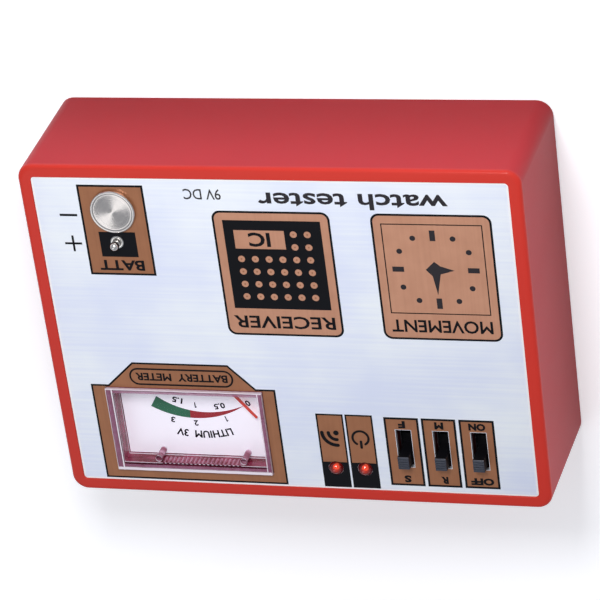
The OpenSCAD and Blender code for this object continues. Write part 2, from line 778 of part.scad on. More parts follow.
module contact_nuts() {
    color("silver")
        for (p = [disc_xy, pin_xy])
            translate([p[0], p[1], deck_z - lug_t - nut_h])
                difference() {
                    cylinder(r = 3.1, h = nut_h, $fn = 6);
                    translate([0, 0, -1]) cylinder(r = 1.47, h = 5);
                }
}

module contact_lugs() {
    color([0.8, 0.7, 0.45])
        for (p = [disc_xy, pin_xy])
            translate([p[0], p[1], deck_z - lug_t])
                difference() {
                    union() {
                        cylinder(r = 2.6, h = lug_t);
                        span([-5.4, -0.9, 0], [0, 0.9, lug_t]);
                    }
                    translate([0, 0, -1]) cylinder(r = 1.5, h = 3);
                }
}

// ---- Board ----

module main_board() {
    z = board_top - board_t;
    color([0.16, 0.42, 0.24])
        difference() {
            span([board_x[0], board_y[0], z], [board_x[1], board_y[1], board_top]);
            for (p = board_screw_xy)
                translate([p[0], p[1], z - 1]) cylinder(r = 1.1, h = 4);
            for (x = switch_x, sx = [-1, 1], dy = terminal_dy)
                translate([x + sx * terminal_dx, slot_yc + dy, z - 1]) cylinder(r = 0.45, h = 4);
            for (p = lamp_xy, s = [-1, 1])
                translate([p[0] + s * 1.27, p[1], z - 1]) cylinder(r = 0.4, h = 4);
        }
}

// A chip with two rows of legs, lying along X
module chip(xy, pins) {
    len_x = pins / 2 * 2.54 + 1.2;
    translate([xy[0], xy[1], board_top]) {
        difference() {
            span([-len_x / 2, -3.2, 0.6], [len_x / 2, 3.2, 3.9]);
            translate([-len_x / 2, 0, 3.4]) cylinder(r = 0.8, h = 2);
        }
        for (i = [0:pins / 2 - 1], s = [-1, 1])
            translate([(i - (pins / 2 - 1) / 2) * 2.54, s * 3.6, 0]) {
                span([-0.25, -0.15, 0], [0.25, 0.15, 2.4]);
                span([-0.25, min(-s * 0.5, 0.15), 2.1], [0.25, max(-s * 0.5, -0.15), 2.4]);
            }
    }
}

module board_chips() {
    color([0.13, 0.13, 0.14]) {
        chip([-34.3, 12.4], 14);
        chip([-15, 12.4], 8);
    }
}

module electrolytic_capacitors() {
    color([0.15, 0.2, 0.45])
        for (p = [[-15.5, 22], [-15.5, 27.6]])
            translate([p[0], p[1], board_top + 2.6])
                rotate([0, 90, 0]) cylinder(r = 2.5, h = 10.5);
}

module ceramic_capacitors() {
    color([0.8, 0.55, 0.25])
        for (p = [[-23, 12], [-7, 8.6]])
            translate([p[0], p[1], board_top + 0.4])
                span([-1, -2, 0], [1, 2, 3.6]);
}

module resistors() {
    color([0.75, 0.65, 0.5])
        for (i = [0:6])
            translate([-42 + 4.9 * i, 17.4, board_top + 1])
                rotate([0, 90, 0]) {
                    translate([0, 0, -1.5]) cylinder(r = 0.85, h = 3);
                    translate([0, 0, -2.2]) cylinder(r = 0.3, h = 4.4);
                }
}

module transistors() {
    color([0.12, 0.12, 0.13])
        for (p = [[-33.5, 6], [-23.5, 6]])
            translate([p[0], p[1], board_top + 0.5])
                intersection() {
                    cylinder(r = 2.3, h = 4.6);
                    span([-1.1, -3, 0], [3, 3, 5]);
                }
}

module trimmer_body() {
    color([0.2, 0.35, 0.7])
        translate([trimmer_xy[0], trimmer_xy[1], board_top])
            difference() {
                span([-3, -3, 0], [3, 3, 3]);
                translate([0, 0, 1.2]) cylinder(r = 2.3, h = 3);
            }
}

module trimmer_rotor() {
    color([0.92, 0.92, 0.9])
        translate([trimmer_xy[0], trimmer_xy[1], board_top + 1.3])
            difference() {
                cylinder(r = 2.2, h = 2);
                for (turn = [0, 90])
                    rotate(turn) span([-1.6, -0.25, 1.2], [1.6, 0.25, 3]);
            }
}

// ---- Coils ----

module drive_coil_bobbin() {
    color([0.92, 0.9, 0.85])
        translate([drive_xy[0], drive_xy[1], drive_z]) {
            ring(9.5, 1.1, 0.9);
            translate([0, 0, deck_z - drive_z - 0.9]) ring(9.5, 2.5, 0.9);
            ring(3.4, 2.5, deck_z - drive_z);
            ring(3.4, 1.1, 3);
        }
}

module drive_coil_winding() {
    color([0.72, 0.4, 0.2])
        translate([drive_xy[0], drive_xy[1], drive_z + 0.9]) ring(8.6, 3.4, deck_z - drive_z - 1.8);
}

module pickup_bobbin() {
    color([0.92, 0.9, 0.85])
        translate(pickup_xyz)
            rotate([0, 90, 0])
                translate([0, 0, -9]) {
                    ring(3.1, 1.9, 1);
                    translate([0, 0, 17]) ring(3.1, 1.9, 1);
                    ring(2.3, 1.9, 18);
                }
}

module pickup_winding() {
    color([0.72, 0.4, 0.2])
        translate(pickup_xyz)
            rotate([0, 90, 0])
                translate([0, 0, -8]) ring(2.9, 2.3, 16);
}

module ferrite_rod() {
    color([0.25, 0.25, 0.27])
        translate(pickup_xyz)
            rotate([0, 90, 0])
                translate([0, 0, -11]) cylinder(r = 1.88, h = 22);
}

// ---- Battery ----

module battery() {
    yc = (battery_y[0] + battery_y[1]) / 2;
    zc = (battery_z[0] + battery_z[1]) / 2;
    color([0.2, 0.22, 0.26])
        translate([battery_x[0], yc, zc])
            rotate([0, 90, 0])
                round_block(battery_z[1] - battery_z[0], battery_y[1] - battery_y[0],
                    battery_x[1] - battery_x[0], 2.2);
    color("silver")
        for (s = [-1, 1])
            translate([battery_term_x, yc + s * 6.35, zc])
                rotate([0, 90, 0]) cylinder(r = 2.9, h = battery_x[0] - battery_term_x);
}

module battery_snap() {
    yc = (battery_y[0] + battery_y[1]) / 2;
    zc = (battery_z[0] + battery_z[1]) / 2;
    color([0.1, 0.1, 0.1])
        translate([battery_term_x, yc, zc])
            rotate([0, -90, 0]) round_block(12.6, 25, 1.6, 3);
    color("silver")
        for (s = [-1, 1])
            translate([battery_term_x, yc + s * 6.35, zc])
                rotate([0, 90, 0]) ring(3.5, 2.95, 1.6);
}

// ---- Wires ----

module battery_wires() {
    color([0.75, 0.1, 0.1]) wire(red_route);
    color([0.1, 0.1, 0.1]) wire(black_route);
}

module meter_wires() {
    color([0.75, 0.1, 0.1]) wire(meter_route_a);
    color([0.1, 0.1, 0.1]) wire(meter_route_b);
}

module contact_wires() {
    color([0.1, 0.1, 0.1]) wire(disc_route);
    color([0.75, 0.1, 0.1]) wire(pin_route);
}

module coil_wires() {
    color([0.85, 0.75, 0.3])
        for (p = [drive_route_a, drive_route_b, pickup_route_a, pickup_route_b]) wire(p, r = 0.4);
}

case_shell();
base_cover();
cover_screws();
battery_door();
front_panel();
meter_cover();
meter_base();
dial_plate();
movement_screws();
needle();
coil_former();
moving_coil();
pivot_shafts();
jewel_screws();
meter_yoke();
core_magnet();
core_supports();
top_bridge();
hairsprings();
meter_terminals();
small_screws();
switch_frame(switch_x[0]);  // power_switch_frame
switch_frame(switch_x[1]);  // mode_switch_frame
switch_frame(switch_x[2]);  // speed_switch_frame
slider(switch_x[0]);  // power_slider
slider(switch_x[1]);  // mode_slider
slider(switch_x[2]);  // speed_slider
contact_spring(switch_x[0]);  // power_contact_spring
contact_spring(switch_x[1]);  // mode_contact_spring
contact_spring(switch_x[2]);  // speed_contact_spring
switch_bases();
switch_terminals();
lamp(lamp_xy[0]);  // power_led
lamp(lamp_xy[1]);  // signal_led
led_leads();
negative_disc();
disc_bush();
positive_pin();
pin_eyelet();
contact_nuts();
contact_lugs();
main_board();
board_chips();
electrolytic_capacitors();
ceramic_capacitors();
resistors();
transistors();
trimmer_body();
trimmer_rotor();
drive_coil_bobbin();
drive_coil_winding();
pickup_bobbin();
pickup_winding();
ferrite_rod();
battery();
battery_snap();
battery_wires();
meter_wires();
contact_wires();
coil_wires();
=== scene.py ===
import json
import math

import bmesh
import bpy
from mathutils import Matrix, Vector
from mathutils.geometry import tessellate_polygon

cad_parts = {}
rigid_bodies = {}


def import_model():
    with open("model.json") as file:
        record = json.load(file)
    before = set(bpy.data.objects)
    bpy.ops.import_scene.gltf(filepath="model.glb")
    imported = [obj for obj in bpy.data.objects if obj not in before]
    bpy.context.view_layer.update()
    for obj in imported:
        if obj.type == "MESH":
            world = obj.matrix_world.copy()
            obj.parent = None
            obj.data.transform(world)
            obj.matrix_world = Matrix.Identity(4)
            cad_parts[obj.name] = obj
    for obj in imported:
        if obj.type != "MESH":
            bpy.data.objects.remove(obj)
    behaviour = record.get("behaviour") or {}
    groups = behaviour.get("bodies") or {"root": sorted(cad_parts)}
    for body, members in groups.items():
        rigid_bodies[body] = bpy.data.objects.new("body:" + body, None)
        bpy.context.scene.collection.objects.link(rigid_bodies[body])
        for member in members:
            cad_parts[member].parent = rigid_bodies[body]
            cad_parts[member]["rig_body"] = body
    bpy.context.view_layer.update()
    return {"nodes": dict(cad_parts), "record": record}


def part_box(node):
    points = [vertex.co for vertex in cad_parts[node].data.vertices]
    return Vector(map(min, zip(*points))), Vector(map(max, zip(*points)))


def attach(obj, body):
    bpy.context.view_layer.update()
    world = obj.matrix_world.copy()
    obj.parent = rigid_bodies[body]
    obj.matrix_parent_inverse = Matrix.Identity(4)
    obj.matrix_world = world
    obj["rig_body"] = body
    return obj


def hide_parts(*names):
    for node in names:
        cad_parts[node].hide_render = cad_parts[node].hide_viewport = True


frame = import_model()
scene = bpy.context.scene
mm = 0.001
print("frame loaded:", len(frame["nodes"]), "nodes")


# places of the designed parts, in millimetres

def low(node):
    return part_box(node)[0] / mm


def high(node):
    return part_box(node)[1] / mm


def middle(node):
    return (low(node) + high(node)) / 2


plateTop = high("front_panel").z
switchNames = ("power", "mode", "speed")
switchX = [middle(name + "_switch_frame").x for name in switchNames]
lampAt = [middle("power_led"), middle("signal_led")]
discAt = middle("negative_disc")
pinAt = middle("positive_pin")
windowLow, windowHigh = low("meter_cover"), high("meter_cover")
pivotAt = middle("core_magnet")
dialTop = high("dial_plate").z


# node trees

class Sock:  # one socket, so that sums on it read as plain Python
    def __init__(self, tree, port):
        self.tree = tree
        self.port = port

    def sum(self, operation, *values):
        return put(self.tree, "ShaderNodeMath", {"operation": operation}, dict(enumerate(values)))

    def __add__(self, other):
        return self.sum("ADD", self, other)

    def __sub__(self, other):
        return self.sum("SUBTRACT", self, other)

    def __rsub__(self, other):
        return self.sum("SUBTRACT", other, self)

    def __mul__(self, other):
        return self.sum("MULTIPLY", self, other)

    def __truediv__(self, other):
        return self.sum("DIVIDE", self, other)

    def __pow__(self, other):
        return self.sum("POWER", self, other)

    def __mod__(self, other):
        return self.sum("FLOORED_MODULO", self, other)

    def __abs__(self):
        return self.sum("ABSOLUTE", self)

    def most(self, other):
        return self.sum("MAXIMUM", self, other)

    __radd__ = __add__
    __rmul__ = __mul__


def put(tree, kind, settings=None, sockets=None, out=0):
    made = tree.nodes.new(kind)
    for key, value in (settings or {}).items():
        if key == "stops":
            while len(made.color_ramp.elements) < len(value):
                made.color_ramp.elements.new(0.5)
            for stop, (place, colour) in zip(made.color_ramp.elements, value):
                stop.position = place
                stop.color = colour
        else:
            setattr(made, key, value)
    for key, value in (sockets or {}).items():
        if isinstance(value, Sock):
            tree.links.new(value.port, made.inputs[key])
        elif value is not None:
            made.inputs[key].default_value = value
    return Sock(tree, made.outputs[out]) if len(made.outputs) else made


def splitXyz(vector):
    first = put(vector.tree, "ShaderNodeSeparateXYZ", None, {0: vector})
    return [Sock(vector.tree, port) for port in first.port.node.outputs]


def ink(red, green, blue):  # a display colour, 0 to 255, as the linear one that shaders use
    shares = [c / 255 for c in (red, green, blue)]
    return tuple(c / 12.92 if c < 0.04 else ((c + 0.055) / 1.055) ** 2.4 for c in shares) + (1,)


def blendColour(factor, first, second):
    return put(factor.tree, "ShaderNodeMix", {"data_type": "RGBA"}, {0: factor, 6: first, 7: second}, 2)


def objectPlace(tree, scale=(1, 1, 1), turn=(0, 0, 0), centre=(0, 0, 0)):
    place = put(tree, "ShaderNodeTexCoord", None, None, "Object")
    about = [c * mm for c in centre]
    centred = put(tree, "ShaderNodeVectorMath", {"operation": "SUBTRACT"}, {0: place, 1: about})
    return put(tree, "ShaderNodeMapping", None, {"Vector": centred, "Rotation": turn, "Scale": scale})


def noise(tree, scale, detail=2.0, place=None, roughness=0.5):
    return put(tree, "ShaderNodeTexNoise", None,
               {"Vector": place or objectPlace(tree), "Scale": scale, "Detail": detail, "Roughness": roughness})


def ramp(value, start, end):
    return put(value.tree, "ShaderNodeMapRange", {"interpolation_type": "SMOOTHSTEP"},
               {"Value": value, "From Min": start, "From Max": end, "To Min": 0.0, "To Max": 1.0})


def bumpOf(height, depth, strength=1.0):  # depth in millimetres
    return put(height.tree, "ShaderNodeBump", None,
               {"Strength": strength, "Distance": depth * mm, "Height": height})


def newMaterial(name):
    made = bpy.data.materials.new(name)
    made.use_nodes = True
    made.node_tree.nodes.clear()
    return made, made.node_tree


def closeMaterial(tree, surface):
    put(tree, "ShaderNodeOutputMaterial", None, {"Surface": surface})


def closePlain(tree, sockets):  # a material that is one Principled shader
    closeMaterial(tree, put(tree, "ShaderNodeBsdfPrincipled", None, sockets))


# One finish: a colour that drifts between two shades, uneven gloss and a fine grain.
# grain is "moulded", "brushed" (along an axis) or "turned" (rings about centre).
def makeFinish(name, colour, shade=None, rough=0.4, spread=0.1, metal=0.0, coat=0.0, coatRough=0.1,
               drift=120, grain="moulded", grainSize=4000, depth=0.01, along=0, centre=(0, 0, 0), **fixed):
    made, tree = newMaterial(name)
    place = objectPlace(tree, centre=centre)
    cloudy = noise(tree, drift, 3, place)
    if grain == "brushed":
        stretch = [1, 1, 1]
        stretch[along] = 0.02
        fine = noise(tree, grainSize, 3, objectPlace(tree, scale=stretch))
    elif grain == "turned":
        x, y, z = splitXyz(place)
        radius = (x * x + y * y) ** 0.5
        fine = noise(tree, grainSize, 2, put(tree, "ShaderNodeCombineXYZ", None, {0: radius, 2: z}))
    else:
        fine = noise(tree, grainSize, 2, place)
    mixed = cloudy * 0.6 + fine * 0.4
    darker = shade or tuple(c * 0.8 for c in colour[:3]) + (1,)
    constants = {"Metallic": metal, "Coat Weight": coat, "Coat Roughness": coatRough}
    constants.update(fixed)
    closePlain(tree, {
        "Base Color": blendColour(mixed, darker, colour), "Roughness": (mixed - 0.5) * spread * 2 + rough,
        "Normal": bumpOf(fine, depth), **constants})
    return made


finishes = {
    # painted shade: dark red for the case walls inside the switch openings, which lie in shade under the plate
    "slotRed": dict(colour=ink(84, 10, 14), shade=ink(60, 6, 10), rough=0.5, spread=0.06, depth=0.01),
    "coverRed": dict(colour=ink(170, 36, 30), shade=ink(150, 28, 24), rough=0.5, spread=0.06, grainSize=1600,
                     depth=0.03),
    "plateEdge": dict(colour=ink(250, 250, 252), shade=ink(240, 240, 246), rough=0.3, spread=0.06, metal=0.5,
                      grain="brushed", along=2, depth=0.002),
    "labelBrown": dict(colour=ink(182, 122, 86), shade=ink(138, 88, 58), rough=0.42, spread=0.08, metal=0.35,
                       grain="brushed", along=1, grainSize=1800, depth=0.002, drift=220),
    # painted light: a lighter copy of the brown label field, for the two labels where more light falls
    "labelTan": dict(colour=ink(213, 157, 128), shade=ink(175, 120, 92), rough=0.5, spread=0.08, metal=0.1,
                     grain="brushed", along=1, grainSize=1800, depth=0.002, drift=220),
    "printBlack": dict(colour=ink(18, 19, 25), shade=ink(10, 11, 15), rough=0.5, spread=0.1, depth=0.003,
                       **{"Specular IOR Level": 0.12}),
    "printGrey": dict(colour=ink(52, 48, 52), shade=ink(40, 37, 42), rough=0.5, spread=0.1, depth=0.003,
                      **{"Specular IOR Level": 0.15}),
    "knobBlack": dict(colour=ink(16, 15, 20), shade=ink(9, 9, 12), rough=0.45, spread=0.1, depth=0.01,
                      **{"Specular IOR Level": 0.2}),
    # painted light: the upward faces of the black knobs wear a lighter grey, a lit copy of the black plastic
    "knobTop": dict(colour=ink(62, 66, 80), shade=ink(40, 42, 54), rough=0.36, spread=0.1, drift=900,
                    depth=0.01),
    "mouldedBlack": dict(colour=ink(30, 30, 33), shade=ink(20, 20, 22), rough=0.5, spread=0.1, depth=0.02),
    # painted light: the dial glows a little though it is no lamp, so it stays bright under the window
    "dialWhite": dict(colour=ink(252, 248, 255), shade=ink(247, 243, 252), rough=0.35, spread=0.06, coat=0.3,
                      drift=80, grainSize=3000, depth=0.002,
                      **{"Emission Color": (0.88, 0.9, 1, 1), "Emission Strength": 0.24}),
    "bandRed": dict(colour=ink(176, 26, 40), shade=ink(160, 20, 34), rough=0.4, depth=0.003),
    "bandGreen": dict(colour=ink(32, 116, 82), shade=ink(24, 104, 72), rough=0.4, depth=0.003),
    "needleRed": dict(colour=ink(240, 78, 56), shade=ink(226, 60, 44), rough=0.4, depth=0.003),
    "springSteel": dict(colour=ink(190, 190, 196), shade=ink(160, 160, 168), rough=0.28, spread=0.12, metal=1.0,
                        grain="brushed", along=1, grainSize=2500, depth=0.004),
    "screwSteel": dict(colour=ink(200, 202, 208), shade=ink(168, 170, 178), rough=0.26, spread=0.14, metal=1.0,
                       drift=700, grainSize=5000, depth=0.004),
    "softIron": dict(colour=ink(120, 120, 126), shade=ink(92, 92, 98), rough=0.42, spread=0.14, metal=1.0,
                     grain="turned", grainSize=3000, depth=0.006, centre=(pivotAt.x, pivotAt.y, 0)),
    "aluminium": dict(colour=ink(214, 216, 222), shade=ink(190, 192, 200), rough=0.32, spread=0.1, metal=1.0,
                      depth=0.004),
    "brass": dict(colour=ink(214, 178, 96), shade=ink(188, 148, 70), rough=0.26, spread=0.12, metal=1.0,
                  drift=400, depth=0.004),
    "bronze": dict(colour=ink(208, 152, 92), shade=ink(180, 122, 70), rough=0.3, spread=0.12, metal=1.0,
                   grain="brushed", along=1, depth=0.004),
    "tinned": dict(colour=ink(214, 214, 216), shade=ink(182, 184, 190), rough=0.2, spread=0.16, metal=1.0,
                   drift=900, depth=0.006),
    "chrome": dict(colour=ink(250, 248, 244), shade=ink(232, 228, 224), rough=0.22, spread=0.06, metal=1.0,
                   depth=0.002),
    "copper": dict(colour=ink(206, 112, 62), shade=ink(170, 78, 38), rough=0.26, spread=0.1, metal=0.85,
                   coat=0.5, drift=900, depth=0.004),
    "phenolic": dict(colour=ink(150, 96, 52), shade=ink(116, 70, 36), rough=0.5, spread=0.1, drift=500,
                     grain="brushed", along=0, grainSize=1800, depth=0.01),
    "nylon": dict(colour=ink(236, 230, 214), shade=ink(222, 214, 196), rough=0.42, spread=0.08, depth=0.008,
                  **{"Subsurface Weight": 0.1}),
    "chipBlack": dict(colour=ink(46, 46, 48), shade=ink(30, 30, 32), rough=0.55, spread=0.08, drift=900,
                      grainSize=6000, depth=0.02),
    "sleeveBlue": dict(colour=ink(32, 48, 120), shade=ink(22, 34, 96), rough=0.24, spread=0.06, coat=0.4,
                       depth=0.004),
    "ceramicTan": dict(colour=ink(206, 142, 74), shade=ink(180, 116, 54), rough=0.4, depth=0.02, drift=800),
    "trimmerBlue": dict(colour=ink(40, 92, 176), shade=ink(30, 74, 150), rough=0.35, depth=0.006),
    "ferrite": dict(colour=ink(74, 74, 78), shade=ink(52, 52, 56), rough=0.5, spread=0.1, drift=1500,
                    grainSize=6000, depth=0.02),
    "redWire": dict(colour=ink(190, 34, 30), shade=ink(164, 24, 22), rough=0.35, depth=0.004),
    "blackWire": dict(colour=ink(34, 34, 36), shade=ink(22, 22, 24), rough=0.35, depth=0.004),
    "blueWire": dict(colour=ink(40, 74, 168), shade=ink(30, 58, 140), rough=0.35, depth=0.004),
    "bandBrown": dict(colour=ink(96, 52, 24), shade=ink(80, 42, 18), rough=0.35, depth=0.003),
    "bandOrange": dict(colour=ink(226, 110, 36), shade=ink(206, 94, 28), rough=0.35, depth=0.003),
    "bandGold": dict(colour=ink(206, 166, 74), shade=ink(184, 144, 58), rough=0.3, metal=0.7, depth=0.003),
    "sleeveStripe": dict(colour=ink(196, 200, 214), shade=ink(176, 180, 196), rough=0.3, coat=0.4, depth=0.004),
    "yellowWire": dict(colour=ink(206, 176, 70), shade=ink(180, 148, 52), rough=0.35, depth=0.004),
}
materials = {name: makeFinish(name, **look) for name, look in finishes.items()}
print("plain finishes:", len(materials))


# case moulding: fresh red on the rim; the walls are painted darker than the rim and darker still towards the
# bottom, painted shade on one red plastic
caseLook = {"rim": ink(212, 57, 46), "upper": ink(182, 47, 54), "lower": ink(158, 33, 39),
            "dirt": ink(120, 26, 26), "dirtShare": 0.12, "blend": (28.8, 30.1), "rimCoat": 0.22,
            "wallCoat": 0.03, "rough": 0.4, "grainDepth": 0.004}


def makeCase(name, top):
    made, tree = newMaterial(name)
    place = objectPlace(tree)
    z = splitXyz(place)[2]
    fine = noise(tree, 2600, 2, place)
    cloudy = noise(tree, 60, 3, place)
    height = z / mm + (cloudy - 0.5) * 1.2
    # painted shade: the walls wear a darker red than the rim, darker still towards the bottom
    shadedWall = blendColour(ramp(height, 0.0, top), caseLook["lower"], caseLook["upper"])
    rim = ramp(z / mm, *caseLook["blend"])
    colour = blendColour(rim, shadedWall, caseLook["rim"])
    closePlain(tree, {
        "Base Color": blendColour(cloudy * caseLook["dirtShare"], colour, caseLook["dirt"]),
        "Roughness": (cloudy - 0.5) * 0.06 + fine * 0.04 + caseLook["rough"],
        "Coat Weight": rim * (caseLook["rimCoat"] - caseLook["wallCoat"]) + caseLook["wallCoat"],
        "Specular IOR Level": 0.06, "Coat Roughness": 0.2, "Normal": bumpOf(fine, caseLook["grainDepth"])})
    return made


# top plate: brushed and lacquered, with a painted highlight that turns it white along its outer edges
plateLook = {"dark": ink(226, 232, 253), "light": ink(245, 249, 255), "border": (0.5, 0.2), "stray": 0.25,
             "metal": 0.22, "coat": 0.5, "rough": 0.3, "grainDepth": 0.0015}


def makePlate(name, halfX, halfY):
    made, tree = newMaterial(name)
    place = objectPlace(tree)
    x, y = splitXyz(place)[:2]
    fine = noise(tree, 1500, 3, objectPlace(tree, scale=(0.02, 1, 1)))
    cloudy = noise(tree, 40, 3, place)
    stray = (noise(tree, 500, 2, place) - 0.5) * plateLook["stray"]
    # painted highlight: near white along the outer edges, as if they caught the light
    wide, narrow = plateLook["border"]
    border = ramp(abs(x) / mm + stray, halfX - wide, halfX - narrow)
    border = border.most(ramp(abs(y) / mm + stray, halfY - wide, halfY - narrow))
    tone = ramp(cloudy * 0.75 + fine * 0.25, 0.32, 0.68)
    body = blendColour(tone, plateLook["dark"], plateLook["light"])
    closePlain(tree, {
        "Base Color": blendColour(border, body, (1, 1, 1, 1)),
        "Roughness": fine * 0.06 + plateLook["rough"], "Normal": bumpOf(fine, plateLook["grainDepth"]),
        "Metallic": plateLook["metal"], "Coat Weight": plateLook["coat"], "Coat Roughness": 0.25})
    return made


# clear moulding, seen through except where its thick walls gather a mauve tint, with painted highlight lines
# along its edges
def glassMix(tree, colour, through, share, cloudy, rough):
    glossy = put(tree, "ShaderNodeBsdfPrincipled", None, {
        "Base Color": colour, "Roughness": cloudy * 0.06 + rough, "IOR": 1.49,
        "Normal": bumpOf(cloudy, 0.01, 0.6)})
    clear = put(tree, "ShaderNodeBsdfTransparent", None, {"Color": through})
    closeMaterial(tree, put(tree, "ShaderNodeMixShader", None, {0: share, 1: clear, 2: glossy}))


def band(value, start, end, soft=0.07):  # one between start and end, nothing outside
    return ramp(value, start - soft, start + soft) * (1 - ramp(value, end - soft, end + soft))


# lines on the window's top, from each side inwards: first a painted highlight line, then a tinted one
windowLook = {
    "pale": ink(252, 240, 250), "mauve": ink(176, 112, 150), "plum": ink(126, 44, 76),
    "clearVeil": 0.02, "paleVeil": 0.92, "tintVeil": 0.7, "through": (0.998, 0.994, 1.0, 1), "front": 13.4,
    "lines": {"back": ((0.1, 0.8), (0.88, 1.62)), "right": ((0.0, 0.2), (0.26, 1.25)),
              "front": ((0.02, 0.22), (0.3, 0.95)), "left": ((0.86, 1.05), (0.06, 0.8))},
    "innerLine": (1.3, 1.62), "footLine": 0.32, "headLine": (-0.3, 0.2), "wallThrough": (0.9, 0.7, 0.8, 1),
}


def rimSheen(tree):  # clear plastic mirrors more at a slant
    return (put(tree, "ShaderNodeLayerWeight", None, {"Blend": 0.5}, "Facing") ** 5) * 0.9


def makeWindowTop(name):
    made, tree = newMaterial(name)
    x, y = splitXyz(objectPlace(tree))[:2]
    cloudy = noise(tree, 900, 3)
    stray = (noise(tree, 260, 2) - 0.5) * 0.2
    sides = {"back": y / -mm + windowHigh.y, "right": x / -mm + windowHigh.x,
             "front": y / mm - windowLook["front"], "left": x / mm - windowLow.x}
    # painted highlights: pale lines along the edges, as if the edges caught the light
    pale = band(sides["right"], *windowLook["innerLine"])
    tint = None
    for key, distance in sides.items():
        highlightLine, tintLine = windowLook["lines"][key]
        pale = pale.most(band(distance + stray, *highlightLine))
        tinted = band(distance + stray, *tintLine)
        tint = tinted if tint is None else tint.most(tinted)
    colour = blendColour(pale, blendColour(cloudy, windowLook["mauve"], windowLook["plum"]), windowLook["pale"])
    share = rimSheen(tree) + windowLook["clearVeil"]
    share = share.most(tint * windowLook["tintVeil"]).most(pale * windowLook["paleVeil"])
    glassMix(tree, colour, windowLook["through"], share, cloudy, 0.06)
    return made


def makeWindowUnder(name):
    made, tree = newMaterial(name)
    glassMix(tree, windowLook["pale"], windowLook["through"], rimSheen(tree), noise(tree, 300, 2), 0.08)
    return made


def makeWindowWall(name, dark, light, foot, head):  # streaked, with painted highlight lines at the head and at the foot, and paler above the plate's level
    made, tree = newMaterial(name)
    z = splitXyz(objectPlace(tree))[2]
    streak = noise(tree, 700, 3, objectPlace(tree, scale=(0.25, 0.25, 1)))
    cloudy = noise(tree, 1500, 2)
    height = z / mm + (cloudy - 0.5) * 0.15
    below, over = windowLook["headLine"]
    # painted highlights: pale lines at the foot and head of the walls, paler above the plate
    lines = band(height, foot, foot + windowLook["footLine"]).most(band(height, head + below, head + over))
    edge = lines.most(ramp(height, plateTop, plateTop + 0.25) * 0.8)
    colour = blendColour(edge * 0.85, blendColour(ramp(streak, 0.4, 0.62), dark, light), windowLook["pale"])
    glassMix(tree, colour, windowLook["wallThrough"], (cloudy - 0.5) * 0.2 + 0.88, cloudy, 0.16)
    return made


materials["caseRed"] = makeCase("caseRed", high("case_shell").z)
materials["plateMetal"] = makePlate("plateMetal", high("front_panel").x, high("front_panel").y)
materials["windowClear"] = makeWindowTop("windowClear")
materials["windowInner"] = makeWindowUnder("windowInner")
wallLooks = {"windowWall": (ink(122, 24, 44), ink(160, 64, 92), dialTop + 0.25, 29.4),
             "windowPost": (ink(150, 70, 96), ink(214, 160, 184), dialTop + 0.1, 29.5),
             "windowRib": (ink(178, 96, 122), ink(206, 140, 164), dialTop, 31.4)}
for name, look in wallLooks.items():
    materials[name] = makeWindowWall(name, *look)


# lamp: dark red epoxy over a bright core; the glow falls off with distance from the lamp's axis
def makeLampGlass(name, centre, top):
    made, tree = newMaterial(name)
    x, y = splitXyz(objectPlace(tree, centre=(centre.x - 0.3, centre.y - 0.45, top)))[:2]
    reach = ((x * x + y * y) ** 0.5) / mm
    glow = 1 - ramp(reach, 0.3, 1.15)
    cloudy = noise(tree, 900, 2)
    closePlain(tree, {
        "Base Color": blendColour(cloudy, ink(84, 4, 8), ink(118, 10, 14)),
        "Roughness": cloudy * 0.05 + 0.06, "Coat Weight": 1.0, "Coat Roughness": 0.03,
        "Emission Color": blendColour(glow * (cloudy * 0.5 + 0.75), (0.02, 0.0, 0.0, 1), (0.7, 0.04, 0.01, 1)),
        "Emission Strength": 0.6, "Alpha": 0.8})
    return made


def makeLampCore(name):
    made, tree = newMaterial(name)
    cloudy = noise(tree, 1400, 3)
    closePlain(tree, {
        "Base Color": ink(255, 90, 40), "Roughness": cloudy * 0.2 + 0.2,
        "Emission Color": blendColour(cloudy, (1.0, 0.05, 0.01, 1), (1.0, 0.2, 0.06, 1)),
        "Emission Strength": 1.5})
    return made


# turned steel face: rings about the centre, as a facing tool leaves them
def makeTurnedFace(name, centre):
    made, tree = newMaterial(name)
    x, y = splitXyz(objectPlace(tree, centre=(centre.x, centre.y, 0)))[:2]
    radius = ((x * x + y * y) ** 0.5) / mm
    rings = noise(tree, 3.2, 3, put(tree, "ShaderNodeCombineXYZ", None, {0: radius}), 0.7)
    fine = noise(tree, 14, 2, put(tree, "ShaderNodeCombineXYZ", None, {0: radius, 1: 3.0}), 0.6)
    height = rings * 0.7 + fine * 0.3
    closePlain(tree, {
        "Base Color": blendColour(height, ink(196, 190, 187), ink(246, 240, 236)), "Metallic": 1.0,
        "Roughness": height * 0.1 + 0.13, "Normal": bumpOf(height, 0.02)})
    return made


# green board with copper runs under the mask
def makeBoard(name):
    made, tree = newMaterial(name)
    place = objectPlace(tree)
    runs = put(tree, "ShaderNodeTexBrick", {"offset": 0.5, "squash": 0.7, "squash_frequency": 3}, {
        "Vector": place, "Color1": (0, 0, 0, 1), "Color2": (0, 0, 0, 1), "Mortar": (1, 1, 1, 1), "Scale": 90,
        "Mortar Size": 0.06, "Mortar Smooth": 0.3, "Brick Width": 0.9, "Row Height": 0.32}, 1)
    cloudy = noise(tree, 200, 3)
    green = blendColour(cloudy, ink(14, 70, 38), ink(22, 88, 50))
    closePlain(tree, {
        "Base Color": blendColour(runs, green, ink(52, 132, 84)), "Roughness": cloudy * 0.1 + 0.2,
        "Normal": bumpOf(runs, 0.03), "Coat Weight": 0.5})
    return made


# battery sleeve: a copper-coloured end and a dark body with a plain stripe
batteryLook = {"terminals": 2.0, "sleeveFrom": 2.1}


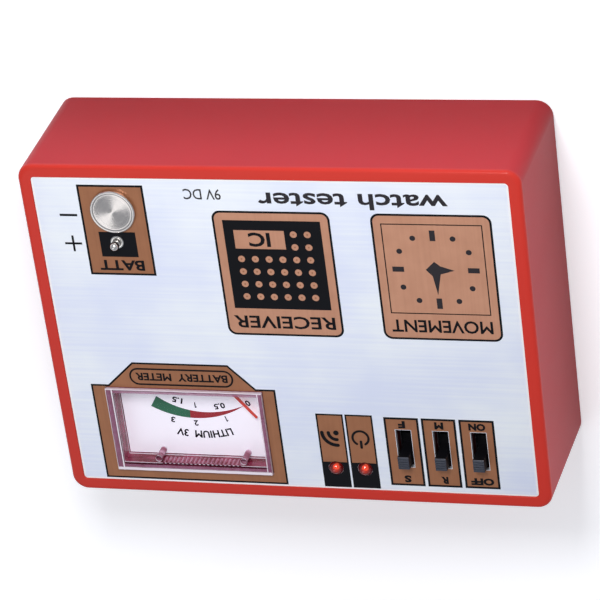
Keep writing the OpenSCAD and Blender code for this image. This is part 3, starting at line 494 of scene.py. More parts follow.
def makeJacket(name, start, end):
    made, tree = newMaterial(name)
    x = splitXyz(objectPlace(tree))[0]
    along = put(tree, "ShaderNodeMapRange", None,
                {"Value": x, "From Min": start * mm, "From Max": end * mm, "To Min": 0.0, "To Max": 1.0})
    stops = ((0.0, ink(190, 120, 62)), (0.24, ink(36, 38, 46)), (0.72, ink(196, 198, 204)),
             (0.76, ink(36, 38, 46)))
    bands = put(tree, "ShaderNodeValToRGB", {"stops": stops}, {0: along})
    bands.port.node.color_ramp.interpolation = "CONSTANT"
    cloudy = noise(tree, 250, 3)
    closePlain(tree, {
        "Base Color": blendColour(cloudy * 0.25, bands, ink(20, 20, 24)), "Metallic": 0.6,
        "Roughness": cloudy * 0.12 + 0.26, "Coat Weight": 0.5})
    return made


for name, at in zip(("power", "signal"), lampAt):
    materials[name + "LampGlass"] = makeLampGlass(name + "LampGlass", at, high("power_led").z)
materials["lampCore"] = makeLampCore("lampCore")
materials["turnedFace"] = makeTurnedFace("turnedFace", discAt)
materials["board"] = makeBoard("board")
materials["jacket"] = makeJacket("jacket", low("battery").x + batteryLook["sleeveFrom"], high("battery").x)
print("all finishes:", len(materials))


# mesh building, in millimetres

def addSolid(bm, loops, z0, z1):  # an upright solid: first loop outside, the others holes
    flat = [p for loop in loops for p in loop]
    bottom = [bm.verts.new((x, y, z0)) for x, y in flat]
    top = [bm.verts.new((x, y, z1)) for x, y in flat]
    for tri in tessellate_polygon([[Vector((x, y, 0)) for x, y in loop] for loop in loops]):
        a, b, c = (Vector((flat[i][0], flat[i][1], 0)) for i in tri)
        order = tri if (b - a).cross(c - a).z > 0 else tri[::-1]
        bm.faces.new([top[i] for i in order])
        bm.faces.new([bottom[i] for i in order[::-1]])
    start = 0
    for loop in loops:
        for i in range(len(loop)):
            here, ahead = start + i, start + (i + 1) % len(loop)
            bm.faces.new((bottom[here], bottom[ahead], top[ahead], top[here]))
        start += len(loop)


def box2(x0, y0, x1, y1):
    return [(x0, y0), (x1, y0), (x1, y1), (x0, y1)]


def around(cx, cy, r, degrees):
    return cx + r * math.cos(math.radians(degrees)), cy + r * math.sin(math.radians(degrees))


def roundBox(x0, y0, x1, y1, r, steps=6):
    corners = [(x1 - r, y1 - r, 0), (x0 + r, y1 - r, 90), (x0 + r, y0 + r, 180), (x1 - r, y0 + r, 270)]
    return [around(cx, cy, r, start + 90 * i / steps) for cx, cy, start in corners for i in range(steps + 1)]


def disc2(cx, cy, r, count=32):
    return [around(cx, cy, r, 360 * i / count) for i in range(count)]


def arcBand(cx, cy, inner, outer, start, end, steps=24):  # a closed arc strip, angles in degrees
    angles = [start + (end - start) * i / steps for i in range(steps + 1)]
    return [around(cx, cy, outer, a) for a in angles] + [around(cx, cy, inner, a) for a in reversed(angles)]


def addBox(bm, lowCorner, highCorner):
    (x0, y0, z0), (x1, y1, z1) = lowCorner, highCorner
    addSolid(bm, [box2(x0, y0, x1, y1)], z0, z1)


def addTurned(bm, profile, cx, cy, count):  # a profile of radius and height, turned about an upright axis
    rings = []
    for r, z in profile:
        spots = disc2(cx, cy, r, count) if r else [(cx, cy)]
        rings.append([bm.verts.new((x, y, z)) for x, y in spots])
    closed = profile[0][0] > 0 and profile[-1][0] > 0
    for k in range(len(rings) if closed else len(rings) - 1):
        here, ahead = rings[k], rings[(k + 1) % len(rings)]
        for i in range(count):
            j = (i + 1) % count
            corners = [here[i % len(here)], here[j % len(here)], ahead[j % len(ahead)], ahead[i % len(ahead)]]
            corners = list(dict.fromkeys(corners))
            if len(corners) > 2:
                bm.faces.new(corners)


def addSlab(bm, outline, x0, x1):  # an outline of y and z, pulled along X
    fresh = bmesh.new()
    addSolid(fresh, [outline], x0, x1)
    for vert in fresh.verts:
        vert.co = Vector((vert.co.z, vert.co.x, vert.co.y))
    addMesh(bm, fresh)
    fresh.free()


def addMesh(bm, other, matrix=None):
    spare = bpy.data.meshes.new("spare")
    other.to_mesh(spare)
    if matrix is not None:
        spare.transform(matrix)
    bm.from_mesh(spare)
    bpy.data.meshes.remove(spare)


def addLetters(bm, words, area, z0, z1, weight, bend=None):  # area: the letters' lowest and highest x and y
    x0, y0, x1, y1 = area
    curve = bpy.data.curves.new("letters", "FONT")
    curve.body = words
    curve.extrude = 0.5
    curve.bevel_depth = weight
    curve.bevel_resolution = 0
    curve.resolution_u = 3
    holder = bpy.data.objects.new("letters", curve)
    scene.collection.objects.link(holder)
    bpy.context.view_layer.update()
    mesh = bpy.data.meshes.new_from_object(holder.evaluated_get(bpy.context.evaluated_depsgraph_get()))
    bpy.data.objects.remove(holder)
    spots = [v.co for v in mesh.vertices]
    left, right = min(p.x for p in spots), max(p.x for p in spots)
    base, top = min(p.y for p in spots), max(p.y for p in spots)
    for v in mesh.vertices:
        x = x0 + (v.co.x - left) / (right - left) * (x1 - x0)
        y = y0 + (v.co.y - base) / (top - base) * (y1 - y0)
        if bend:  # letters stand on an arc about the point bend
            radius = y - bend.y
            angle = (x - bend.x) / ((y0 + y1) / 2 - bend.y)
            x, y = bend.x + radius * math.sin(angle), bend.y + radius * math.cos(angle)
        v.co = Vector((x, y, z1 if v.co.z > 0 else z0))
    bm.from_mesh(mesh)
    bpy.data.meshes.remove(mesh)


def makePiece(name, bm, finishNames, body, slotName, nodes=(), bevel=0.0, corner=35, keepNormals=False):
    bmesh.ops.remove_doubles(bm, verts=bm.verts, dist=1e-4)
    if not keepNormals:
        bmesh.ops.recalc_face_normals(bm, faces=bm.faces)
    bmesh.ops.scale(bm, vec=(mm, mm, mm), verts=bm.verts)
    mesh = bpy.data.meshes.new(name)
    bm.to_mesh(mesh)
    bm.free()
    return placeMesh(name, mesh, finishNames, body, nodes, bevel, corner)


def placeMesh(name, mesh, finishNames, body, nodes=(), bevel=0.0, corner=35):
    if mesh.materials:  # clearing also forgets which face wears which finish
        mesh.materials.clear()
    for finishName in finishNames:
        mesh.materials.append(materials[finishName])
    mesh.shade_smooth()
    mesh.set_sharp_from_angle(angle=math.radians(corner))
    piece = bpy.data.objects.new(name, mesh)
    scene.collection.objects.link(piece)
    if bevel:
        edge = piece.modifiers.new("softEdge", "BEVEL")
        edge.width = bevel * mm
        edge.segments = 2
        edge.limit_method = "ANGLE"
        edge.angle_limit = math.radians(corner)
        edge.use_clamp_overlap = False
        edge.harden_normals = True
        even = piece.modifiers.new("evenNormals", "WEIGHTED_NORMAL")
        even.keep_sharp = True
    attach(piece, body)
    if nodes:
        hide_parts(*nodes)
    return piece


def bodyOf(node):
    return frame["nodes"][node]["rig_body"]


def slotOf(node):
    return next(part["material_slot"] for part in frame["record"]["subparts"] if part["node"] == node)


def toMillimetres(bm):
    bmesh.ops.scale(bm, vec=(1 / mm, 1 / mm, 1 / mm), verts=bm.verts)


def cadCopy(node):  # the designed shape, its loose triangles merged into flat faces, in millimetres
    bm = bmesh.new()
    bm.from_mesh(frame["nodes"][node].data)
    bmesh.ops.remove_doubles(bm, verts=bm.verts, dist=2e-6)
    bmesh.ops.dissolve_limit(bm, angle_limit=math.radians(0.6), verts=bm.verts, edges=bm.edges)
    for face in bm.faces:
        face.material_index = 0
    toMillimetres(bm)
    return bm


def islands(bm):  # the separate solids of a mesh, each as its faces, in order of their lowest corner
    groups, left = [], set(bm.faces)
    while left:
        group, edge = [], [left.pop()]
        while edge:
            face = edge.pop()
            group.append(face)
            near = {other for vert in face.verts for other in vert.link_faces if other in left}
            left -= near
            edge += near
        groups.append(group)
    return sorted(groups, key=lambda group: min(
        tuple(round(c, 2) for c in face.calc_center_median()) for face in group))


# A designed part, made smooth and given its finishes. With more than one finish, choose says which
# face wears which, or perSolid gives them to the solids in turn.
def tidyCopy(node, *finishNames, bevel=0.0, choose=None, perSolid=False):
    bm = cadCopy(node)
    if perSolid:
        for i, group in enumerate(islands(bm)):
            for face in group:
                face.material_index = i % len(finishNames)
    if choose:
        for face in bm.faces:
            face.material_index = choose(face.calc_center_median(), face.normal)
    name = "".join(w.capitalize() if i else w for i, w in enumerate(node.split("_")))
    return makePiece(name, bm, finishNames, bodyOf(node), slotOf(node), [node], bevel, keepNormals=True)


# repeated shapes, grown by geometry nodes

def newGrower(name, inputs):  # inputs: name to socket type
    tree = bpy.data.node_groups.new(name, "GeometryNodeTree")
    tree.interface.new_socket(name="Geometry", in_out="OUTPUT", socket_type="NodeSocketGeometry")
    for key, kind in inputs.items():
        tree.interface.new_socket(name=key, in_out="INPUT", socket_type="NodeSocket" + kind)
    entry = tree.nodes.new("NodeGroupInput")
    return tree, {key: Sock(tree, entry.outputs[key]) for key in inputs}


def closeGrower(tree, geometry, finishName):
    whole = put(tree, "GeometryNodeRealizeInstances", None, {0: geometry})
    dressed = put(tree, "GeometryNodeSetMaterial", None, {"Geometry": whole, "Material": materials[finishName]})
    exitNode = tree.nodes.new("NodeGroupOutput")
    tree.links.new(dressed.port, exitNode.inputs[0])


def grow(tree, values):  # runs a tree on an empty object and gives back a plain mesh, in metres
    holder = bpy.data.objects.new(tree.name, bpy.data.meshes.new(tree.name))
    scene.collection.objects.link(holder)
    run = holder.modifiers.new("grow", "NODES")
    run.node_group = tree
    for item in tree.interface.items_tree:
        if item.item_type == "SOCKET" and item.name in values:
            run[item.identifier] = values[item.name]
    bpy.context.view_layer.update()
    mesh = bpy.data.meshes.new_from_object(holder.evaluated_get(bpy.context.evaluated_depsgraph_get()))
    holder.modifiers.remove(run)
    bpy.data.objects.remove(holder)
    return mesh


# camera, floor and light

view = {"place": (-0.1857, -0.3202, 0.5641), "across": (-0.9592, 0.1204, -0.2559),
        "up": (0.0238, -0.8673, -0.4971), "back": (-0.2818, -0.4829, 0.8291), "lens": 189.4,
        "sensor": 36, "nearest": 0.01}
cameraData = bpy.data.cameras.new("camera")
cameraData.lens = view["lens"]
cameraData.sensor_width = view["sensor"]
cameraData.clip_start = view["nearest"]
camera = bpy.data.objects.new("camera", cameraData)
scene.collection.objects.link(camera)
columns = Matrix((view["across"], view["up"], view["back"])).transposed()
camera.matrix_world = Matrix.Translation(view["place"]) @ columns.to_4x4()
scene.camera = camera
scene.view_settings.view_transform = "Standard"

studio = {"sky": (0.87, 0.92, 1.0, 1), "skyPower": 0.37, "aim": (0, 0, 0.02),
          "keySize": (0.08, 0.08), "keyPower": 0.54, "keyPlace": (-0.03, -0.19, 0.24),
          "stripSize": (0.26, 0.9), "stripPower": 0.72, "stripPlace": (0.3, 0.35, 0.8)}
floorLook = {"shade": ink(238, 239, 244), "light": ink(246, 246, 250), "glowNear": 0.4, "glowFar": 0.8,
             "glowReach": (0.06, 0.2), "half": 4, "drop": 0.3}


def makeFloor():
    made, tree = newMaterial("floorPaper")
    cloudy = noise(tree, 8, 2)
    x, y = splitXyz(objectPlace(tree))[:2]
    away = ramp((x * x + y * y) ** 0.5, *floorLook["glowReach"])
    glow = blendColour(away, (floorLook["glowNear"],) * 3 + (1,), (floorLook["glowFar"],) * 3 + (1,))
    paper = put(tree, "ShaderNodeBsdfPrincipled", None, {
        "Base Color": blendColour(cloudy, floorLook["shade"], floorLook["light"]),
        "Roughness": cloudy * 0.05 + 0.7, "Emission Color": glow, "Emission Strength": 1.0})
    below = put(tree, "ShaderNodeNewGeometry", None, None, "Backfacing")  # nothing hides the base from below
    clear = put(tree, "ShaderNodeBsdfTransparent")
    closeMaterial(tree, put(tree, "ShaderNodeMixShader", None, {0: below, 1: paper, 2: clear}))
    bm = bmesh.new()
    bmesh.ops.create_grid(bm, x_segments=1, y_segments=1, size=floorLook["half"])
    bmesh.ops.translate(bm, vec=(0, 0, -floorLook["drop"] * mm), verts=bm.verts)
    mesh = bpy.data.meshes.new("floor")
    bm.to_mesh(mesh)
    bm.free()
    mesh.materials.append(made)
    floor = bpy.data.objects.new("floor", mesh)
    scene.collection.objects.link(floor)


def addSoftbox(name, place, size, power):  # a flat lamp aimed at the case
    data = bpy.data.lights.new(name, "AREA")
    data.shape = "RECTANGLE"
    data.size, data.size_y = size
    data.energy = power
    lamp = bpy.data.objects.new(name, data)
    scene.collection.objects.link(lamp)
    aim = Vector(place) - Vector(studio["aim"])
    lamp.matrix_world = Matrix.Translation(place) @ aim.to_track_quat("Z", "Y").to_matrix().to_4x4()


makeFloor()
addSoftbox("keyBox", studio["keyPlace"], studio["keySize"], studio["keyPower"])
addSoftbox("stripBox", studio["stripPlace"], studio["stripSize"], studio["stripPower"])
world = bpy.data.worlds.new("sky")
world.use_nodes = True
skyInputs = world.node_tree.nodes["Background"].inputs
skyInputs["Color"].default_value = studio["sky"]
skyInputs["Strength"].default_value = studio["skyPower"]
scene.world = world
print("camera, floor and light set")


# case and plate

# the last two give the height where the painted shade inside the switch openings begins, and how far it reaches
case = {"roundOver": 0.95, "edge": 0.12, "darkFrom": 24, "darkReach": (1.8, 5)}
slotLow, slotHigh, slotHalf = 21.53, 30.56, 1.75


def makeCaseShell():  # the designed shell: outer top edge rounded over, walls of the switch openings painted dark as shade
    bm = cadCopy("case_shell")
    reachX, reachY = case["darkReach"]
    for face in bm.faces:
        spot = face.calc_center_median()
        besideSlot = any(abs(spot.x - x) < reachX for x in switchX)
        inSlot = besideSlot and abs(spot.y - (slotLow + slotHigh) / 2) < reachY
        # faces inside the switch openings wear the painted shade
        face.material_index = 1 if inSlot and spot.z > case["darkFrom"] else 0
    top, plate = high("case_shell").z - 0.01, high("front_panel") + Vector((1, 1, 0))
    outer = [edge for edge in bm.edges if all(
        v.co.z > top and (abs(v.co.x) > plate.x or abs(v.co.y) > plate.y) for v in edge.verts)]
    bmesh.ops.bevel(bm, geom=outer, offset=case["roundOver"], segments=6, profile=0.5, affect="EDGES",
                    clamp_overlap=True)
    makePiece("caseShell", bm, ["caseRed", "slotRed"], "root", slotOf("case_shell"), ["case_shell"],
              case["edge"], keepNormals=True)


makeCaseShell()
tidyCopy("base_cover", "coverRed", bevel=0.15)
tidyCopy("battery_door", "coverRed", bevel=0.12)
tidyCopy("front_panel", "plateMetal", "plateEdge", choose=lambda c, n: 1 if abs(n.z) < 0.5 else 0)
print("case and plate made")


# printed labels: coloured fields and dark print, all thin solids on the plate

labels = {"ink": 0.02, "sunk": 0.02, "bite": 0.005, "line": 0.46, "roundLine": 0.45,
          "outerRound": 1.8, "innerRound": 1.4, "headY": (-5.1, -2.15), "headWeight": 0.018, "weight": 0.03}
brown, litBrown, black, grey = bmesh.new(), bmesh.new(), bmesh.new(), bmesh.new()
inkLow, inkMid, inkTop = plateTop - labels["sunk"], plateTop + labels["ink"], plateTop + 2 * labels["ink"]
inkOver = inkMid - labels["bite"]  # print on a field starts just inside it


def fill(bm, *loops):
    addSolid(bm, loops, inkLow, inkMid)


def onPlate(bm, *loops):
    addSolid(bm, loops, inkLow, inkTop)


def onField(bm, *loops):
    addSolid(bm, loops, inkOver, inkTop)


def framed(x0, y0, x1, y1, inset):
    return box2(x0, y0, x1, y1), box2(x0 + inset, y0 + inset, x1 - inset, y1 - inset)


switchLabel = {"y": (18.5, 35.2), "halfX": (3.72, 3.64, 3.7), "shift": 0.2, "gap": 0.1,
               "words": (("OFF", "ON"), ("R", "M"), ("S", "F")), "wordY": (32.65, 19.3), "tall": 1.75,
               "wide": {"OFF": 4.9, "ON": 3.6, "M": 1.9}, "letterWide": 1.5, "wordShift": 0.15, "weight": 0.055}


def printSwitchLabel(x, half, words):
    y0, y1 = switchLabel["y"]
    left = x + switchLabel["shift"] - half
    gap = switchLabel["gap"]
    slot = box2(x - slotHalf, slotLow - gap, x + slotHalf, slotHigh + gap)
    outer, inner = framed(left, y0, left + 2 * half, y1, labels["line"])
    fill(brown, inner, slot)
    onPlate(black, outer, inner)
    for word, base in zip(words, switchLabel["wordY"]):
        wide = switchLabel["wide"].get(word, switchLabel["letterWide"])
        start = x + switchLabel["wordShift"] - wide / 2
        addLetters(black, word, (start, base, start + wide, base + switchLabel["tall"]), inkOver, inkTop,
                   switchLabel["weight"])


for x, half, words in zip(switchX, switchLabel["halfX"], switchLabel["words"]):
    printSwitchLabel(x, half, words)

lampLabel = {"x": ((-16.2, -10.3), (-9.89, -4.0)), "y": (18.2, 36.25), "darkFrom": 30.06, "line": 0.35,
             "hole": 1.62}


def printLampLabel(x0, x1, at):  # a field above, the lamp in a black foot
    y0, y1 = lampLabel["y"]
    line, split = lampLabel["line"], lampLabel["darkFrom"]
    fill(brown, box2(x0 + line, y0 + line, x1 - line, split))
    onPlate(black, box2(x0, y0, x1, y0 + line))
    onPlate(black, box2(x0, y0 + line, x0 + line, split))
    onPlate(black, box2(x1 - line, y0 + line, x1, split))
    onPlate(black, box2(x0, split, x1, y1), disc2(at.x, at.y, lampLabel["hole"]))


for (x0, x1), at in zip(lampLabel["x"], lampAt):
    printLampLabel(x0, x1, at)

powerSign = {"at": (-13.15, 23.9), "radius": 1.72, "half": 0.26, "sweep": (122, 418),
             "bar": (-0.29, 0.55, 0.29, 2.6), "barRound": 0.28}
waveSign = {"at": (-7.95, 22.8), "dot": 0.6, "sweep": (0, 92), "waves": ((1.65, 0.38), (3.05, 0.4))}


def drawArc(at, radius, half, start, end, steps=30):  # a stroke with round ends
    ends = []
    for a, side in ((end, 0), (start, 180)):
        cx, cy = around(*at, radius, a)
        ends.append([around(cx, cy, half, a + side + 180 * i / 8) for i in range(1, 8)])
    outline = arcBand(*at, radius - half, radius + half, start, end, steps)
    onField(black, outline[:steps + 1] + ends[0] + outline[steps + 1:] + ends[1])


def moved(points, at):
    return [(at[0] + x, at[1] + y) for x, y in points]


drawArc(powerSign["at"], powerSign["radius"], powerSign["half"], *powerSign["sweep"])
bar = moved(roundBox(*powerSign["bar"], powerSign["barRound"], 4), powerSign["at"])
onField(black, bar)
onField(black, disc2(*waveSign["at"], waveSign["dot"], 20))
for radius, half in waveSign["waves"]:
    drawArc(waveSign["at"], radius, half, *waveSign["sweep"])

watchLabel = {"x": (-45.93, -21.07), "y": (-29.43, -0.43), "words": "MOVEMENT", "margin": 1.9,
              "frameMargin": 2.0, "frameY": (-27.2, -6.5), "frameLine": 0.22, "bar": (-0.58, 6.6, 0.58, 9.0),
              "hands": ((2.1, 0), (0.8, 1.5), (0.1, 5.8), (-0.9, 1.0), (-3.8, 0.1), (-1.0, -0.85),
                        (0.2, -1.85)),
              "dotRing": 8.26, "dotRadius": 0.6, "dotCount": 12, "dotThick": 0.03}
receiverLabel = {"x": (-12.64, 12.21), "y": (-29.5, -0.43), "words": "RECEIVER", "margin": 1.6,
                 "dark": (-10.57, -27.36, 10.07, -6.8), "chip": (-2.7, -25.1, 8.0, -20.8),
                 "chipWord": (0.4, -24.6, 5.0, -21.3), "pitch": 2.93, "firstDot": (-7.57, -9.64),
                 "dotGroups": ((6, 4, 2.5, 1.5), (2, 2, 0.5, 4.5)), "dotThick": 0.03,
                 "dots": (("labelDots", "labelTan", 0.74, 0.005),
                          ("labelDotCentres", "labelBrown", 0.2, 0.012))}


def printRoundLabel(look):  # a field painted a lighter brown as if lit, in a black frame, with a heading
    (x0, x1), (y0, y1), line = look["x"], look["y"], labels["roundLine"]
    inner = roundBox(x0 + line, y0 + line, x1 - line, y1 - line, labels["innerRound"])
    onPlate(black, roundBox(x0, y0, x1, y1, labels["outerRound"]), inner)
    fill(litBrown, inner)
    base, top = labels["headY"]
    addLetters(black, look["words"], (x0 + look["margin"], base, x1 - look["margin"], top), inkOver, inkTop,
               labels["headWeight"])


printRoundLabel(watchLabel)
frameIn = watchLabel["frameMargin"]
outer, inner = framed(watchLabel["x"][0] + frameIn, watchLabel["frameY"][0], watchLabel["x"][1] - frameIn,
                      watchLabel["frameY"][1], watchLabel["frameLine"])
onField(black, outer, inner)
clockAt = middle("drive_coil_bobbin")
for turn in (0, 90, 180, 270):
    spin = Matrix.Rotation(math.radians(turn), 2)
    bar = [tuple(spin @ Vector(p) + clockAt.xy) for p in box2(*watchLabel["bar"])]
    onField(grey, bar)
onField(grey, moved(watchLabel["hands"], clockAt))

printRoundLabel(receiverLabel)
onField(black, box2(*receiverLabel["dark"]), box2(*receiverLabel["chip"]))
addLetters(black, "IC", receiverLabel["chipWord"], inkOver, inkTop, labels["weight"])

cellLabel = {"area": (26.03, -35.0, 40.33, -14.0), "line": 0.45, "discHole": 4.1, "pinHole": 1.3,
             "words": (28.3, -17.5, 38.0, -15.1), "dark": (29.25, -24.1, 37.17, -18.3),
             "signs": ((41.2, -21.48, 44.9, -21.03), (42.83, -23.1, 43.28, -21.48),
                       (42.83, -21.03, 43.28, -19.4), (41.2, -28.15, 45.0, -27.65))}
outer, inner = framed(*cellLabel["area"], cellLabel["line"])
onPlate(black, outer, inner)
fill(brown, inner, disc2(discAt.x, discAt.y, cellLabel["discHole"]))
addLetters(black, "BATT", cellLabel["words"], inkOver, inkTop, labels["weight"])
onField(black, box2(*cellLabel["dark"]), disc2(pinAt.x, pinAt.y, cellLabel["pinHole"]))
for bar in cellLabel["signs"]:  # plus and minus
    onPlate(black, box2(*bar))

# meter label: a broad field that narrows towards its capsule
meterLabel = {"outer": [(4.03, 12.76), (8.2, 12.76), (13.7, 7.1), (34.8, 7.1), (40.85, 12.76), (44.8, 12.76),
                        (44.8, 36.18), (4.03, 36.18)],
              "inner": [(4.43, 13.16), (8.37, 13.16), (13.87, 7.5), (34.63, 7.5), (40.68, 13.16), (44.4, 13.16),
                        (44.4, 35.78), (4.43, 35.78)],
              "capsule": (12.85, 8.44, 35.8, 12.6), "capsuleRound": 2.05, "capsuleLine": 0.4, "gap": 0.1,
              "words": (14.1, 9.6, 34.4, 11.45)}
gap, line = meterLabel["gap"], meterLabel["capsuleLine"]
hole = box2(windowLow.x - gap, windowLook["front"] - gap, windowHigh.x + gap, windowHigh.y + gap)
onPlate(black, meterLabel["outer"], meterLabel["inner"])
fill(brown, meterLabel["inner"], hole)
x0, y0, x1, y1 = meterLabel["capsule"]
capsule = [roundBox(x0 + inset, y0 + inset, x1 - inset, y1 - inset, meterLabel["capsuleRound"] - inset, 10)
           for inset in (0, line)]
onField(black, *capsule)
addLetters(black, "BATTERY  METER", meterLabel["words"], inkOver, inkTop, labels["weight"])

# lettering on the bare plate
plateWords = (("watch tester", (-37.4, -33.86, 1.86, -30.16), 0.018),
              ("9V DC", (9.57, -34.4, 17.5, -32.0), 0.005))
for words, area, weight in plateWords:
    addLetters(grey, words, area, inkLow, inkTop, weight)

makePiece("labelFields", brown, ["labelBrown"], "root", "panel_metal")
makePiece("labelTanFields", litBrown, ["labelTan"], "root", "panel_metal")
makePiece("labelPrint", black, ["printBlack"], "root", "panel_metal")
makePiece("labelGreyPrint", grey, ["printGrey"], "root", "panel_metal")

# dots, grown on a grid and on a circle
dotTree, dotIn = newGrower("dotGrid", {"Pitch": "Float", "Across": "Int", "Down": "Int", "Radius": "Float",
                                       "Thickness": "Float", "Corner": "Vector"})
grid = put(dotTree, "GeometryNodeMeshGrid", None, {
    "Size X": (dotIn["Across"] - 1) * dotIn["Pitch"], "Size Y": (dotIn["Down"] - 1) * dotIn["Pitch"],
    "Vertices X": dotIn["Across"], "Vertices Y": dotIn["Down"]})
coin = put(dotTree, "GeometryNodeMeshCylinder", None, {
    "Vertices": 20, "Radius": dotIn["Radius"], "Depth": dotIn["Thickness"]})
dots = put(dotTree, "GeometryNodeInstanceOnPoints", None, {"Points": grid, "Instance": coin})
placed = put(dotTree, "GeometryNodeTransform", None, {"Geometry": dots, "Translation": dotIn["Corner"]})
closeGrower(dotTree, placed, "labelTan")


def makeDots(name, finish, radius, lift):
    bm = bmesh.new()
    pitch, (firstX, firstY) = receiverLabel["pitch"], receiverLabel["firstDot"]
    for across, down, stepsX, stepsY in receiverLabel["dotGroups"]:
        spot = (firstX + stepsX * pitch, firstY - stepsY * pitch, inkTop + lift)
        bm.from_mesh(grow(dotTree, {
            "Pitch": pitch * mm, "Across": across, "Down": down, "Radius": radius * mm,
            "Thickness": receiverLabel["dotThick"] * mm, "Corner": [c * mm for c in spot]}))
    toMillimetres(bm)
    makePiece(name, bm, [finish], "root", "panel_metal")


for look in receiverLabel["dots"]:
    makeDots(*look)

ringTree, ringIn = newGrower("dotRing", {"Radius": "Float", "Dots": "Int", "Dot Radius": "Float",
                                         "Thickness": "Float", "Middle": "Vector"})
circle = put(ringTree, "GeometryNodeMeshCircle", None, {
    "Vertices": ringIn["Dots"], "Radius": ringIn["Radius"]})
index = put(ringTree, "GeometryNodeInputIndex")
keep = put(ringTree, "FunctionNodeCompare", {"data_type": "INT", "operation": "NOT_EQUAL"},
           {2: index % 3, 3: 0})
coin = put(ringTree, "GeometryNodeMeshCylinder", None, {
    "Vertices": 16, "Radius": ringIn["Dot Radius"], "Depth": ringIn["Thickness"]})
dots = put(ringTree, "GeometryNodeInstanceOnPoints", None, {
    "Points": circle, "Selection": keep, "Instance": coin})
placed = put(ringTree, "GeometryNodeTransform", None, {"Geometry": dots, "Translation": ringIn["Middle"]})
closeGrower(ringTree, placed, "printGrey")
mesh = grow(ringTree, {"Radius": watchLabel["dotRing"] * mm, "Dots": watchLabel["dotCount"],
                       "Dot Radius": watchLabel["dotRadius"] * mm, "Thickness": watchLabel["dotThick"] * mm,
                       "Middle": (clockAt.x * mm, clockAt.y * mm, (inkTop - 0.01) * mm)})
placeMesh("clockDots", mesh, ["printGrey"], "root")
print("labels printed")


# slide switches

knobs = {"ribs": 5, "pitch": 0.58, "groove": 0.2, "ribHalf": 0.2, "wide": 2.4, "long": 3.0, "foot": 23.5,
         "deckTop": 25.88, "corner": (0.08, 0.12, 0.03)}


def makeSlider(name):  # a ribbed knob on a plate that runs under the slot
    node = name + "_slider"
    lo, hi = low(node), high(node)
    at = (lo + hi) / 2
    y0, y1 = at.y - knobs["long"] / 2, at.y + knobs["long"] / 2
    top, foot = hi.z, knobs["foot"]
    inset, drop, lip = knobs["corner"]
    outline = [(y0, foot), (y1, foot), (y1, top - drop), (y1 - inset, top - lip)]
    for i in range(knobs["ribs"] - 1, -1, -1):
        mid = at.y + (i - (knobs["ribs"] - 1) / 2) * knobs["pitch"]
        outline += [(mid + knobs["ribHalf"], top), (mid - knobs["ribHalf"], top)]
        if i:
            outline += [(mid - knobs["pitch"] / 2, top - knobs["groove"])]
    outline += [(y0 + inset, top - lip), (y0, top - drop)]
    bm = bmesh.new()
    addSlab(bm, outline, at.x - knobs["wide"] / 2, at.x + knobs["wide"] / 2)
    addBox(bm, lo, (hi.x, hi.y, knobs["deckTop"]))
    bmesh.ops.recalc_face_normals(bm, faces=bm.faces)
    # upward faces near the top wear the painted lit grey
    for face in bm.faces:
        face.material_index = 1 if face.normal.z > 0.3 and face.calc_center_median().z > top - 0.5 else 0
    makePiece(name + "Slider", bm, ["knobBlack", "knobTop"], bodyOf(node), slotOf(node), [node], 0.05)


for name in switchNames:
    makeSlider(name)
    tidyCopy(name + "_switch_frame", "springSteel", bevel=0.05)
    tidyCopy(name + "_contact_spring", "bronze", bevel=0.03)
tidyCopy("switch_bases", "phenolic")
tidyCopy("switch_terminals", "tinned")
print("switches made")


# lamps

lampShape = {
    "radius": 1.5, "flange": 1.9, "flangeTop": (0.75, 0.8),
    "cup": ((0, -2.3), (0.4, -2.3), (0.72, -1.4), (0.6, -1.35), (0.3, -1.8), (0, -1.8)), "cupShift": -0.2,
    "plates": (((-0.6, -0.62, -1.2), (0.16, -0.28, -0.78)), ((0.26, -0.5, -1.1), (0.62, -0.1, -0.82))),
}


def domeOf(r, top, step):  # the profile of a round head, from its side up
    return [around(0, top - r, r, a) for a in range(0, 90, step)] + [(0, top)]


def makeLamp(name, at):
    node = name + "_led"
    lo, hi = low(node), high(node)
    r, flange = lampShape["radius"], lampShape["flange"]
    edge, shoulder = lampShape["flangeTop"]
    bm = bmesh.new()
    foot = [(0, lo.z), (flange, lo.z), (flange, lo.z + edge), (r, lo.z + shoulder)]
    addTurned(bm, foot + domeOf(r, hi.z, 9), at.x, at.y, 48)
    makePiece(name + "Lamp", bm, [name + "LampGlass"], "root", "lamp_red", [node])
    core = bmesh.new()
    cup = [(reach, hi.z + z) for reach, z in lampShape["cup"]]
    addTurned(core, cup, at.x, at.y + lampShape["cupShift"], 24)
    tip = Vector((at.x, at.y, hi.z))
    for start, end in lampShape["plates"]:
        addBox(core, tip + Vector(start), tip + Vector(end))
    makePiece(name + "LampCore", core, ["lampCore"], "root", "lamp_red")


for name, at in zip(("power", "signal"), lampAt):
    makeLamp(name, at)
tidyCopy("led_leads", "tinned")
print("lamps made")


# meter

window = {"topSlab": 1.2, "skirtTop": 25.4, "sideWall": 1.5, "postFrom": 14.8, "ribs": (1.6, 1.22),
          "ribTop": 29.3}
windowFinishes = ("windowClear", "windowWall", "windowPost", "windowInner", "windowRib")


def windowPart(spot, normal):  # which of the finishes a face wears
    wallAt, ribEnd = (windowHigh.y - inset for inset in window["ribs"])
    inside = windowLow.x + window["sideWall"] < spot.x < windowHigh.x - window["sideWall"]
    if abs(normal.z) > 0.9 and spot.z > windowHigh.z - window["topSlab"] - 0.05:
        return 0 if normal.z > 0 else 3
    if spot.z < window["skirtTop"] or not inside:
        return 1
    if window["postFrom"] < spot.y < wallAt:
        return 2
    return 4 if wallAt < spot.y < ribEnd and spot.z < window["ribTop"] else 1


